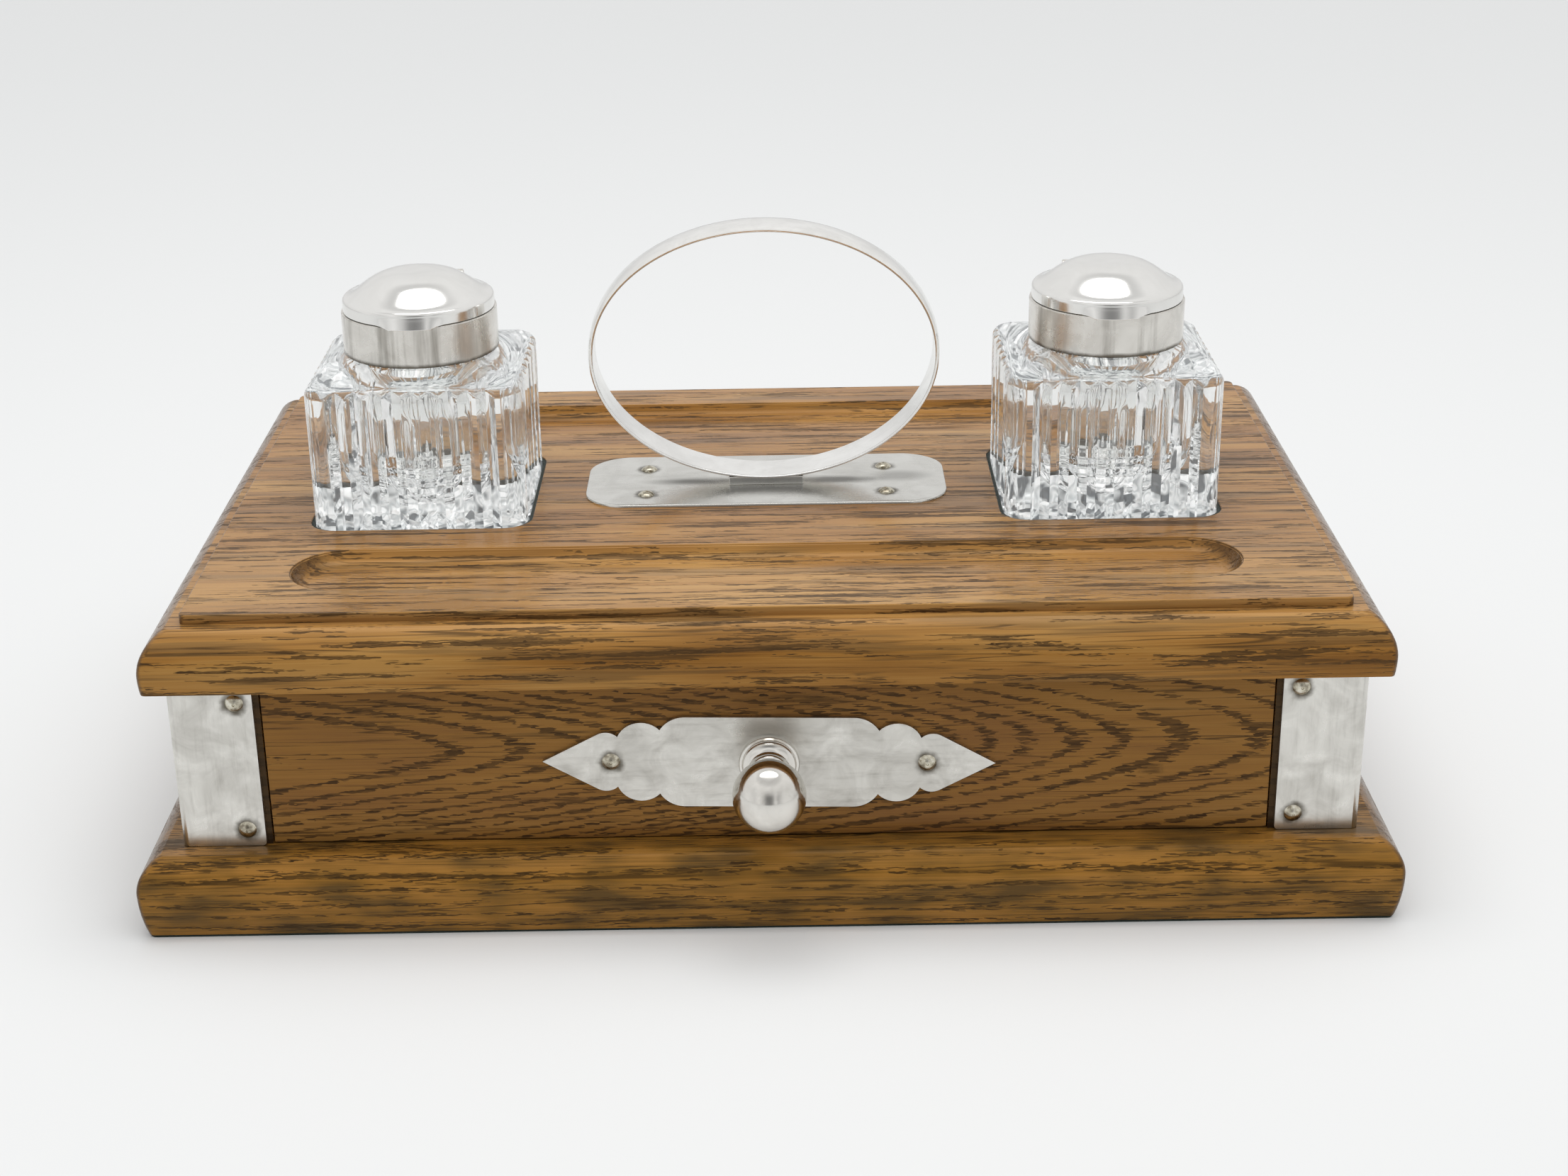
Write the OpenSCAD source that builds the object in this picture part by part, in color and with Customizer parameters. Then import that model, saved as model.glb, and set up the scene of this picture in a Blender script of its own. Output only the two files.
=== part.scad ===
// Oak desk inkstand: a moulded base and top board round a drawer case with silver corner
// mounts, two lift-out square ink wells with hinged lids, two pen grooves and a carrying ring.
// +X is to the right, +Y to the back, +Z up. The origin is the middle of the underside.

/* [Base board] */
// Width of the base board, the widest piece of the stand
base_w = 300; // [240:1:360]
// Depth of the base board, front to back
base_d = 191.6; // [180:0.2:240]
// Thickness of the base board
base_t = 19.1; // [15:0.1:26]
// Height of the widest line of the base moulding above the board's underside
base_nose_h = 11.3; // [11:0.1:13]
// Radius of the base moulding above its widest line
base_nose_top_r = 8.3; // [8.2:0.1:12]
// Radius of the base moulding below its widest line
base_nose_low_r = 43.3; // [40:0.1:60]
// Thickness of the baize glued under the base and inside the well sockets
baize_t = 0.7; // [0.4:0.1:1.2]
// How far the underside baize stops short of the board's widest line
baize_inset = 1.8; // [1.7:0.1:8]
// Rounding of the boards' upright corners, seen from above
corner_soft = 1.5; // [0.5:0.1:4]

/* [Case] */
// Ledge of the base board beyond the corner mounts
ledge = 10; // [8:0.1:20]
// Height of the case between the base and the top board
case_h = 41.8; // [38:0.1:60]
// Thickness of the two end panels
end_t = 20.4; // [16:0.1:24]
// Thickness of the back panel
back_t = 12; // [8:0.5:18]

/* [Top board] */
// Overhang of the top board beyond the corner mounts
top_overhang = 5; // [2:0.1:9]
// Thickness of the top board at its edge ledge
top_edge_t = 14.1; // [12.6:0.1:20]
// Rise of the raised panel above the ledge
panel_rise = 2.3; // [1:0.1:4]
// Distance from the top board's widest line to the raised panel
panel_inset = 9; // [8:0.1:14]
// Height of the widest line of the top moulding above the board's underside
top_nose_h = 4.4; // [3.6:0.1:6]
// Radius of the top board's moulding above its widest line
top_nose_r = 10.8; // [10.4:0.1:16]
// Radius of the top board's moulding below its widest line
top_nose_low_r = 29.5; // [20:0.5:40]

/* [Pen grooves] */
// Distance of each pen groove's ends from the ends of the top board
groove_end = 30.4; // [22:0.1:60]
// Width of each pen groove
groove_w = 25.7; // [20:0.1:30]
// Depth of each pen groove
groove_depth = 3.2; // [2.8:0.2:4.6]
// Radius of the cutter that rounds the groove's walls
groove_cutter_r = 5.2; // [4.6:0.1:8]
// Distance of each groove's middle line from the long edge of the top board
groove_inset = 35.75; // [32:0.05:38]

/* [Corner mounts] */
// Thickness of the silver corner mounts
mount_t = 1; // [0.6:0.1:1.5]
// Length of each leg of a corner mount, from the outside of its bend
mount_leg = 20; // [16:0.5:26]
// Outside radius of the mounts' bend
mount_bend_r = 1.5; // [0.5:0.1:2]
// Rounding of the mounts' free corners
mount_corner_r = 1; // [0.3:0.1:3]
// Space above and below each corner mount
mount_gap = 0.1; // [0.05:0.05:0.4]
// Distance of each pin from the upright edge of its leg
pin_edge = 4.2; // [3:0.1:8]
// Distance of each pin from the upper or lower edge of the case
pin_end = 4.4; // [3:0.1:9]

/* [Pins] */
// Radius of the domed pin heads
pin_head_r = 2.15; // [1.6:0.05:2.6]
// Height of the domed pin heads
pin_head_h = 1; // [0.6:0.1:1.5]
// Radius of the pin shanks
pin_shank_r = 0.8; // [0.5:0.05:1.1]
// Length of the pin shanks under the head
pin_shank_l = 7; // [4:0.5:7.5]
// Clearance round each shank in its metal plate and its pilot hole
pin_clearance = 0.03; // [0.01:0.01:0.1]

/* [Ring handle] */
// Length of the ring's foot plate
foot_l = 93.6; // [80:0.2:110]
// Depth of the foot plate, front to back
foot_d = 37; // [28:0.5:42]
// Thickness of the foot plate
foot_t = 0.8; // [0.6:0.1:1.5]
// Corner radius of the foot plate
foot_corner_r = 10.5; // [6:0.5:14]
// Position of the foot plate's middle, front to back
foot_y = 2.4; // [-2:0.1:4]
// Distance between the foot plate's pins along the plate
foot_pin_w = 62; // [50:0.5:70]
// Distance between the foot plate's pins across the plate
foot_pin_d = 19; // [18:0.5:22]
// Position of the foot plate's pins from the plate's middle, front to back
foot_pin_y = -1.3; // [-1.5:0.1:1.5]
// Overall width of the oval ring
ring_w = 90.2; // [70:0.2:100]
// Height of the oval ring
ring_h = 67.3; // [50:0.1:90]
// Length of the pad soldered between the ring and its foot plate
ring_pad_l = 19.4; // [12:0.2:26]
// Height of the pad between the ring and its foot plate
ring_pad_h = 1.2; // [0.8:0.1:2]
// Position of the ring's middle, front to back
ring_y = 3.4; // [2:0.1:4]
// Width of the ring's band, front to back
ring_band = 12; // [8:0.2:12.6]
// Thickness of the ring's band
ring_t = 1.3; // [1:0.1:2.2]

/* [Ink wells] */
// Distance of each well's middle from the end of the top board
well_inset = 57.8; // [50:0.1:64]
// Position of the wells' middle, front to back
well_y = -0.8; // [-4:0.1:4]
// Width of the square glass blocks
glass_w = 53.8; // [50:0.1:56]
// Corner radius of the glass blocks
glass_corner_r = 6; // [4:0.2:8]
// Height of a glass block to the level edge of its shoulder
glass_edge_h = 45.8; // [38:0.2:56]
// Rounding of the glass block's upper edge
glass_edge_r = 2.6; // [1.5:0.1:4]
// Chamfer round the foot of the glass block
glass_foot = 1.2; // [0.5:0.1:2]
// Rise of the shoulder from its edge to the collar
shoulder_rise = 3.3; // [2:0.1:5]
// Number of mitre cuts on each side of the block
flute_count = 9; // [5:1:12]
// Depth of the mitre cuts
flute_depth = 1.2; // [0.6:0.1:1.6]
// Radius of the neck inside the collar
neck_r = 18.1; // [17.4:0.1:18.3]
// Height of the neck above the shoulder
neck_h = 9; // [6:0.1:9]
// Radius of the bore through the neck
bore_r = 14.5; // [12:0.1:15.4]
// Radius of the ink cavity below the neck
cavity_r = 17.5; // [16:0.1:20]
// Thickness of the glass under the ink cavity
glass_floor = 13; // [9:0.5:18]
// Depth of the sockets below the raised panel
socket_depth = 10.5; // [8:0.1:11.5]
// Clearance between the glass and its baize lining
socket_fit = 0.3; // [0.2:0.05:0.6]

/* [Collars] */
// Outside radius of the silver collars
collar_r = 19.6; // [19.3:0.1:20.2]
// Height of the collars
collar_h = 10.4; // [9.8:0.1:12]
// Thickness of the collars' wall and of their turned-in top
collar_t = 0.8; // [0.5:0.05:0.9]
// Clearance between the neck's cement and the metal and glass round it
cement_fit = 0.02; // [0.01:0.01:0.05]

/* [Lids] */
// Radius of the lids
lid_r = 19.1; // [18.6:0.1:19.2]
// Height of the lids' rim
lid_rim_h = 3.2; // [2.4:0.1:4]
// Rounding of the rim's upper edge
lid_edge_r = 1; // [0.4:0.1:1.4]
// Rise of the dome above the rim
dome_rise = 6.1; // [5:0.1:10]
// Fullness of the dome: 1 is a plain wave, more makes the middle broader
dome_full = 2; // [1.2:0.05:2.4]
// Thickness of the lid's metal
lid_t = 0.9; // [0.6:0.05:1.4]
// Seam between the collar's top and the lid's rim
seam = 0.25; // [0.1:0.05:0.5]
// How far the thumb lip stands out from the rim
lip_out = 1.5; // [0.8:0.1:2.5]
// Thickness of the thumb lip
lip_t = 1.2; // [0.8:0.1:1.8]
// Plan radius of the thumb lip
lip_r = 11; // [8:0.5:14]

/* [Lid hinges] */
// Radius of the hinge barrels
barrel_r = 1.7; // [1.5:0.1:2.1]
// Gap between the lid's rim and the hinge barrels
barrel_gap = 0.4; // [0.35:0.05:0.8]
// Height of the hinge axis above the collar's top
hinge_rise = 2.2; // [2:0.1:2.6]
// Overall length of each hinge
hinge_l = 18; // [14:0.5:22]
// Length of the lid's middle knuckle
knuckle_l = 7; // [5:0.5:9]
// Side gap between knuckles
knuckle_gap = 0.3; // [0.15:0.05:0.5]
// Radius of the hinge pins
hinge_pin_r = 0.6; // [0.4:0.05:0.9]
// Running clearance round the hinge pins
hinge_clearance = 0.04; // [0.01:0.01:0.1]

/* [Drawer] */
// Clearance between the drawer and the case on every side
drawer_gap = 0.4; // [0.3:0.05:0.8]
// Thickness of the drawer front
front_t = 14; // [12:0.5:18]
// Thickness of the drawer's sides and back
side_t = 8; // [6:0.5:10]
// Height of the drawer's sides and back
side_h = 36; // [28:0.5:36.5]
// Depth of the rebates in the drawer front that take the sides
rebate = 8; // [5:0.5:10]
// Thickness of the drawer bottom
bottom_t = 3; // [2:0.5:4]
// Height of the drawer bottom above the lower edge of the sides
bottom_rise = 3; // [2:0.5:5]
// Depth of the grooves that hold the drawer bottom
bottom_groove = 3; // [2:0.5:4]
// Clearance of the drawer bottom in its grooves
bottom_fit = 0.1; // [0.05:0.05:0.2]
// Space behind the closed drawer
drawer_stop_gap = 0.8; // [0.4:0.1:3]

/* [Drawer plate and knob] */
// Length of the shaped silver plate from point to point
plate_l = 106.6; // [100:0.2:120]
// Height of the plate's middle part
plate_h = 23.3; // [20:0.1:28]
// Thickness of the plate
plate_t = 1; // [0.6:0.1:1.5]
// Distance of the plate's pins from the knob
plate_pin_x = 37.2; // [35:0.1:39]
// Distance from the plate's point back to the middle of its round shoulder
plate_shoulder_x = 33.5; // [30:0.1:38]
// Distance from the plate's point back to the middle of its lobe
plate_lobe_x = 23.2; // [20:0.1:26]
// Distance from the plate's point back to the middle of its small lobe
plate_small_lobe_x = 14.9; // [12:0.1:18]
// Turn of the plate about the knob, clockwise from the front, as it was fitted by hand
plate_turn = 1.2; // [0:0.1:2]
// Radius of the knob's ball
ball_r = 8.55; // [6:0.05:10]
// Distance of the ball's centre from the plate
ball_reach = 17.2; // [15:0.1:22]
// Distance of the plate and knob below the middle of the drawer front
knob_drop = 0.9; // [0:0.1:4]
// Radius of the knob's foot
knob_foot_r = 7.05; // [6:0.05:9]
// Radius of the knob's neck
knob_neck_r = 3.9; // [3.2:0.1:5]
// Radius of the knob's fixing screw
stud_r = 2; // [1.5:0.1:2.4]
// Clearance round the fixing screw
stud_clearance = 0.05; // [0.02:0.01:0.2]
// Radius of the fixing screw's head
stud_head_r = 3.8; // [3:0.1:5]
// Thickness of the fixing screw's head
stud_head_t = 2.4; // [1.5:0.1:3]
// Depth that the fixing screw reaches into the knob
stud_grip = 7; // [4:0.5:9]

/* [Case fixings] */
// Radius of the screws that hold the base to the end panels
screw_r = 2; // [1.5:0.1:2.5]
// Radius of those screws' countersunk heads
screw_head_r = 4; // [3:0.1:5]
// Length of those screws
screw_l = 38; // [28:1:50]
// Radius of the dowels between the end panels and the top board
dowel_r = 3; // [2:0.5:4]
// Length of the dowels
dowel_l = 20; // [16:1:22]
// Distance of screws and dowels from the front and back of the case
fixing_inset = 34; // [28:1:50]
// Clearance round screws and dowels
fixing_clearance = 0.03; // [0.01:0.01:0.1]

/* [Hidden] */
$fn = 96;

// Levels
board_z = baize_t;
case_z = board_z + base_t;
top_z = case_z + case_h;
ledge_z = top_z + top_edge_t;
panel_z = ledge_z + panel_rise;
socket_z = panel_z - socket_depth;
glass_z = socket_z + baize_t;
edge_z = glass_z + glass_edge_h;
shoulder_z = edge_z + shoulder_rise;
neck_z = shoulder_z + neck_h;
collar_z = shoulder_z + collar_h;
rim_z = collar_z + seam;
foot_z = panel_z + foot_t;
drawer_z = case_z + drawer_gap;

// Half sizes in plan
mount_x = base_w / 2 - ledge;
mount_y = base_d / 2 - ledge;
case_x = mount_x - mount_t;
case_y = mount_y - mount_t;
bay_x = case_x - end_t;
bay_back = case_y - back_t;
top_x = mount_x + top_overhang;
top_y = mount_y + top_overhang;
panel_x = top_x - panel_inset;
panel_y = top_y - panel_inset;
well_x = top_x - well_inset;
groove_l = 2 * (top_x - groove_end);
groove_y = top_y - groove_inset;
socket_w = glass_w + 2 * (socket_fit + baize_t);
socket_corner_r = glass_corner_r + socket_fit + baize_t;

// Drawer
drawer_x = bay_x - drawer_gap;
drawer_back_y = bay_back - drawer_stop_gap;
inner_x = drawer_x - side_t;
inner_front = -case_y + front_t;
inner_back = drawer_back_y - side_t;
bottom_z = drawer_z + bottom_rise;
knob_z = drawer_z + (case_h - 2 * drawer_gap) / 2 - knob_drop;

// Hinges
hinge_y = lid_r + barrel_gap + barrel_r;
hinge_z = collar_z + hinge_rise;

oak = "#8a5f33";
dark_oak = "#5d3c20";
silver = "#c9c9c6";
brass = "#b6a878";
baize = "#16251d";
glass = "#d8e2e8";
plaster = "#d9d4c8";

// An outline turned by an angle about the origin
function turned(points, a) = [for (p = points)
    [p[0] * cos(a) - p[1] * sin(a), p[0] * sin(a) + p[1] * cos(a)]];

// Rectangle with round corners, centred
module soft_rect(w, d, r) {
    square([w - 2 * r, d], center = true);
    square([w, d - 2 * r], center = true);
    for (x = [-1, 1], y = [-1, 1]) translate([x * (w / 2 - r), y * (d / 2 - r)]) circle(r);
}

// Upright section of a moulded board, from its underside at zero to its upper face
module nosed_section(half, thickness, nose_h, top_r, low_r) {
    top_in = half - top_r;
    low_in = half - low_r;
    translate([-top_in, 0]) square([2 * top_in, thickness]);
    for (side = [0, 1]) mirror([side, 0]) {
        intersection() {
            translate([top_in, nose_h]) circle(top_r);
            translate([0, nose_h]) square([half, thickness - nose_h]);
        }
        intersection() {
            translate([low_in, nose_h]) circle(low_r);
            translate([0, 0]) square([half, nose_h]);
        }
    }
}

// Board with its moulding mitred round all four edges
module moulded_board(w, d, thickness, nose_h, top_r, low_r) {
    intersection() {
        rotate([90, 0, 0]) linear_extrude(d + 2, center = true)
            nosed_section(w / 2, thickness, nose_h, top_r, low_r);
        rotate([90, 0, 90]) linear_extrude(w + 2, center = true)
            nosed_section(d / 2, thickness, nose_h, top_r, low_r);
        linear_extrude(thickness) soft_rect(w, d, corner_soft);
    }
}

// Places of the base screws and of the top dowels, over the middle of each end panel
fixing_x = case_x - end_t / 2;
fixing_y = case_y - fixing_inset;
module at_fixings() {
    for (x = [-1, 1], y = [-1, 1]) translate([x * fixing_x, y * fixing_y, 0]) children();
}

// Countersunk screw, point up, its head's face at the underside of the base board
module screw_body(extra) {
    cylinder(h = screw_l + extra, r = screw_r + extra);
    rotate_extrude() polygon([[0, -extra], [screw_head_r + extra, -extra],
        [screw_head_r + extra, extra], [screw_r, screw_head_r - screw_r + extra],
        [0, screw_head_r - screw_r + extra]]);
}

module base_screws() color(silver) at_fixings() translate([0, 0, board_z]) screw_body(0);

module screw_holes() {
    at_fixings() translate([0, 0, board_z]) screw_body(fixing_clearance);
}

module dowel_holes() {
    at_fixings() translate([0, 0, top_z]) cylinder(h = dowel_l + 2 * fixing_clearance,
        r = dowel_r + fixing_clearance, center = true);
}

module top_dowels() color(oak) at_fixings() translate([0, 0, top_z])
    cylinder(h = dowel_l, r = dowel_r, center = true);

// Baize glued under the base
module base_baize() color(baize) linear_extrude(baize_t)
    soft_rect(base_w - 2 * baize_inset, base_d - 2 * baize_inset, corner_soft);

// Moulded base board, on which the case and the drawer stand
module base_board() color(oak) difference() {
    translate([0, 0, board_z])
        moulded_board(base_w, base_d, base_t, base_nose_h, base_nose_top_r, base_nose_low_r);
    screw_holes();
}

// Pin with a domed head, its shank pointing down and its head seated at zero
dome_ball_r = (pin_head_r * pin_head_r + pin_head_h * pin_head_h) / (2 * pin_head_h);
module domed_pin() {
    intersection() {
        translate([0, 0, pin_head_h - dome_ball_r]) sphere(dome_ball_r);
        cylinder(h = pin_head_h, r = pin_head_r);
    }
    translate([0, 0, -pin_shank_l]) cylinder(h = pin_shank_l + pin_head_h / 2, r = pin_shank_r);
}

module pin_hole() {
    translate([0, 0, -pin_shank_l - pin_clearance])
        cylinder(h = pin_shank_l + pin_clearance + 1, r = pin_shank_r + pin_clearance);
}

// The four pins of one corner mount: two on the front or back leg, two on the side leg
module at_mount_pins(sx, sy) {
    for (z = [case_z + pin_end, top_z - pin_end]) {
        translate([sx * (mount_x - mount_leg + pin_edge), sy * mount_y, z])
            rotate([-sy * 90, 0, 0]) children();
        translate([sx * mount_x, sy * (mount_y - mount_leg + pin_edge), z])
            rotate([0, sx * 90, 0]) children();
    }
}

module all_mount_pins() {
    for (sx = [-1, 1], sy = [-1, 1]) at_mount_pins(sx, sy) children();
}

module corner_mount_pins() color(brass) all_mount_pins() domed_pin();

// What is filed off the two free corners of a mount's leg, which ends at the given place
module mount_free_corners(end) {
    for (z = [0, 1]) translate([end, z == 0 ? case_z + mount_gap : top_z - mount_gap])
        mirror([end > 0 ? 0 : 1, 0]) mirror([0, z]) difference() {
            translate([-1, -1]) square(mount_corner_r + 1);
            translate([mount_corner_r, mount_corner_r]) circle(mount_corner_r);
        }
}

// Silver sheet bent round one upright corner of the case
module corner_mount(sx, sy) color(silver) difference() {
    translate([0, 0, case_z + mount_gap]) linear_extrude(case_h - 2 * mount_gap)
        intersection() {
            difference() {
                soft_rect(2 * mount_x, 2 * mount_y, mount_bend_r);
                square([2 * case_x, 2 * case_y], center = true);
            }
            translate([sx * mount_x, sy * mount_y])
                square([2 * mount_leg, 2 * mount_leg], center = true);
        }
    for (turn = [0, 90]) rotate([90, 0, turn]) linear_extrude(4 * mount_x, center = true)
        mount_free_corners(turn == 0 ? sx * (mount_x - mount_leg) : sy * (mount_y - mount_leg));
    at_mount_pins(sx, sy) pin_hole();
}

module corner_mount_front_left() corner_mount(-1, -1);
module corner_mount_front_right() corner_mount(1, -1);
module corner_mount_back_left() corner_mount(-1, 1);
module corner_mount_back_right() corner_mount(1, 1);

// Thick end panels of the case
module end_panel(sx) color(dark_oak) difference() {
    translate([sx * (case_x - end_t / 2), 0, case_z + case_h / 2])
        cube([end_t, 2 * case_y, case_h], center = true);
    screw_holes();
    dowel_holes();
    all_mount_pins() pin_hole();
}

module end_panel_left() end_panel(-1);
module end_panel_right() end_panel(1);

// Panel that closes the back of the case between the ends
module back_panel() color(oak) translate([-bay_x, bay_back, case_z])
    cube([2 * bay_x, back_t, case_h]);

// Cutter of one pen groove: flat in the middle, its walls swept by a round-nosed bit
module groove_cutter() {
    centre_z = groove_cutter_r - groove_depth;
    wall = sqrt(pow(groove_cutter_r, 2) - pow(centre_z, 2));
    run = (groove_l - groove_w) / 2;
    flat = groove_w / 2 - wall;
    intersection() {
        union() {
            for (y = [-flat, flat]) translate([0, y, centre_z]) rotate([0, 90, 0])
                cylinder(h = 2 * run, r = groove_cutter_r, center = true);
            for (x = [-run, run]) translate([x, 0, 0]) rotate_extrude() intersection() {
                union() {
                    translate([flat, centre_z]) circle(groove_cutter_r);
                    translate([0, -groove_depth]) square([flat, 2 * groove_cutter_r]);
                }
                translate([0, -groove_depth]) square([groove_w / 2 + groove_cutter_r, groove_depth + 1]);
            }
            translate([-run, -flat, -groove_depth]) cube([2 * run, 2 * flat, groove_depth + 1]);
        }
        translate([0, 0, -groove_depth / 2 + 0.25])
            cube([groove_l + 4, groove_w + 2, groove_depth + 0.5], center = true);
    }
}

// Moulded top board with its raised panel, well sockets and pen grooves
module top_board() color(oak) difference() {
    union() {
        translate([0, 0, top_z])
            moulded_board(2 * top_x, 2 * top_y, top_edge_t, top_nose_h, top_nose_r, top_nose_low_r);
        translate([-panel_x, -panel_y, ledge_z - 1])
            cube([2 * panel_x, 2 * panel_y, panel_rise + 1]);
    }
    for (x = [-well_x, well_x]) translate([x, well_y, socket_z])
        linear_extrude(socket_depth + 1) soft_rect(socket_w, socket_w, socket_corner_r);
    for (y = [-groove_y, groove_y]) translate([0, y, panel_z]) groove_cutter();
    at_foot_pins() pin_hole();
    dowel_holes();
}

// Baize tray glued into one well socket
module socket_lining(x) color(baize) translate([x, well_y, socket_z]) difference() {
    linear_extrude(socket_depth - baize_t / 2) soft_rect(socket_w, socket_w, socket_corner_r);
    translate([0, 0, baize_t]) linear_extrude(socket_depth)
        soft_rect(socket_w - 2 * baize_t, socket_w - 2 * baize_t, socket_corner_r - baize_t);
}

module socket_lining_left() socket_lining(-well_x);
module socket_lining_right() socket_lining(well_x);

// Four pins of the ring's foot plate
module at_foot_pins() {
    for (x = [-1, 1], y = [-1, 1])
        translate([x * foot_pin_w / 2, foot_y + foot_pin_y + y * foot_pin_d / 2, foot_z]) children();
}

module ring_foot_pins() color(brass) at_foot_pins() domed_pin();

// Flat silver plate that the ring is soldered to
module ring_foot_plate() color(silver) difference() {
    translate([0, foot_y, panel_z]) linear_extrude(foot_t)
        soft_rect(foot_l, foot_d, foot_corner_r);
    at_foot_pins() pin_hole();
}

// Oval carrying ring, a flat band standing upright on a small pad on its foot plate
module oval(half_w, half_h) {
    polygon([for (i = [0:143]) [half_w * cos(i * 2.5), half_h * sin(i * 2.5)]]);
}

module handle_ring() color(silver) translate([0, ring_y + ring_band / 2, foot_z])
    rotate([90, 0, 0]) linear_extrude(ring_band) {
        translate([0, ring_pad_h + ring_h / 2]) difference() {
            oval(ring_w / 2, ring_h / 2);
            oval(ring_w / 2 - ring_t, ring_h / 2 - ring_t);
        }
        translate([-ring_pad_l / 2, 0]) square([ring_pad_l, ring_pad_h + 0.8 * ring_t]);
    }

// Screw that draws the knob and plate onto the drawer front, driven from inside
module knob_screw_body(extra) {
    rotate([90, 0, 0]) {
        cylinder(h = front_t + plate_t + stud_grip - stud_head_t + extra, r = stud_r + extra);
        translate([0, 0, -stud_head_t]) cylinder(h = stud_head_t + extra, r = stud_head_r + extra);
    }
}

module at_knob_screw() {
    translate([0, inner_front - stud_head_t, knob_z]) children();
}

module knob_screw() color(silver) at_knob_screw() knob_screw_body(0);

// Drawer front, rebated at both ends for the sides
module drawer_front() color(oak) difference() {
    translate([-drawer_x, -case_y, drawer_z])
        cube([2 * drawer_x, front_t, case_h - 2 * drawer_gap]);
    for (x = [-1, 1]) translate([x * drawer_x, inner_front, drawer_z])
        cube([2 * side_t, 2 * rebate, 2 * side_h], center = true);
    translate([-inner_x - bottom_groove, inner_front - bottom_groove, bottom_z - bottom_fit])
        cube([2 * (inner_x + bottom_groove), bottom_groove + 1, bottom_t + 2 * bottom_fit]);
    at_knob_screw() knob_screw_body(stud_clearance);
    translate([0, inner_front - stud_head_t, knob_z]) rotate([-90, 0, 0])
        cylinder(h = stud_head_t + 1, r = stud_head_r + stud_clearance);
    at_plate_pins() pin_hole();
}

// Drawer sides, grooved for the bottom
module drawer_side(sx) color(oak) difference() {
    translate([sx > 0 ? inner_x : -drawer_x, inner_front - rebate, drawer_z])
        cube([side_t, drawer_back_y - inner_front + rebate, side_h]);
    drawer_bottom_space();
}

module drawer_side_left() drawer_side(-1);
module drawer_side_right() drawer_side(1);

// Drawer back, grooved like the sides
module drawer_back() color(oak) difference() {
    translate([-inner_x, inner_back, drawer_z]) cube([2 * inner_x, side_t, side_h]);
    drawer_bottom_space();
}

// Space that the drawer bottom takes up in the grooves
module drawer_bottom_space() {
    translate([-inner_x - bottom_groove, inner_front - rebate - 1, bottom_z - bottom_fit])
        cube([2 * (inner_x + bottom_groove), inner_back + bottom_groove - inner_front + rebate + 1,
            bottom_t + 2 * bottom_fit]);
}

// Thin bottom that floats in the grooves
module drawer_bottom() color(dark_oak)
    translate([-inner_x - bottom_groove + bottom_fit, inner_front - bottom_groove + bottom_fit, bottom_z])
        cube([2 * (inner_x + bottom_groove - bottom_fit),
            inner_back - inner_front + 2 * (bottom_groove - bottom_fit), bottom_t]);

// Baize glued on the drawer bottom
module drawer_lining() color(baize) translate([-inner_x, inner_front, bottom_z + bottom_t])
    cube([2 * inner_x, inner_back - inner_front, baize_t]);

// Outline of the drawer plate: a straight middle, then on each side a round shoulder, a lobe,
// a smaller lobe and a long point
plate_scale = plate_h / 23.3;
shoulder_arc_r = 6.9 * plate_scale;
lobe_arc_r = 6 * plate_scale;
tip_arc_r = 4 * plate_scale;
shoulder_c = [plate_l / 2 - plate_shoulder_x, plate_h / 2 - shoulder_arc_r];
lobe_c = [plate_l / 2 - plate_lobe_x, 4.2 * plate_scale];
tip_c = [plate_l / 2 - plate_small_lobe_x, 3.6 * plate_scale];
point = [plate_l / 2, 0];
// Upper crossing of two arcs, and the bearing of a point from an arc's centre
function crossing(c1, r1, c2, r2) =
    let (d = norm(c2 - c1), u = (c2 - c1) / d, a = (r1 * r1 - r2 * r2 + d * d) / (2 * d))
    c1 + a * u + sqrt(r1 * r1 - a * a) * [-u[1], u[0]];
function bearing(c, p) = atan2(p[1] - c[1], p[0] - c[0]);
// Points of an arc, walked from one bearing to another, without its first point
function arc(c, r, from, to, n = 12) = [for (i = [1:n]) let (a = from + (to - from) * i / n)
    [c[0] + r * cos(a), c[1] + r * sin(a)]];
notch_in = crossing(shoulder_c, shoulder_arc_r, lobe_c, lobe_arc_r);
notch_out = crossing(lobe_c, lobe_arc_r, tip_c, tip_arc_r);
// Bearing, from the small lobe's centre, of the place where the point's straight edge touches it
touch = 90 - atan2(tip_c[1], point[0] - tip_c[0]) - asin(tip_arc_r / norm(point - tip_c));
quarter_edge = concat(
    [[0, plate_h / 2], [shoulder_c[0], plate_h / 2]],
    arc(shoulder_c, shoulder_arc_r, 90, bearing(shoulder_c, notch_in)),
    arc(lobe_c, lobe_arc_r, bearing(lobe_c, notch_in), bearing(lobe_c, notch_out)),
    arc(tip_c, tip_arc_r, bearing(tip_c, notch_out), touch),
    [point]
);

module plate_outline() {
    last = len(quarter_edge) - 1;
    rotate([0, 0, -plate_turn]) polygon(concat(
        quarter_edge,
        [for (i = [last - 1:-1:0]) [quarter_edge[i][0], -quarter_edge[i][1]]],
        [for (i = [1:last]) -quarter_edge[i]],
        [for (i = [last - 1:-1:1]) [-quarter_edge[i][0], quarter_edge[i][1]]]
    ));
}

module at_plate_pins() {
    for (side = [-1, 1]) translate([side * plate_pin_x * cos(plate_turn), -case_y - plate_t,
        knob_z - side * plate_pin_x * sin(plate_turn)]) rotate([90, 0, 0]) children();
}

// Shaped silver plate behind the knob
module drawer_plate() color(silver) difference() {
    translate([0, -case_y, knob_z]) rotate([90, 0, 0]) linear_extrude(plate_t) plate_outline();
    at_plate_pins() pin_hole();
    at_knob_screw() knob_screw_body(stud_clearance);
}

module drawer_plate_pins() color(brass) at_plate_pins() domed_pin();

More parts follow.
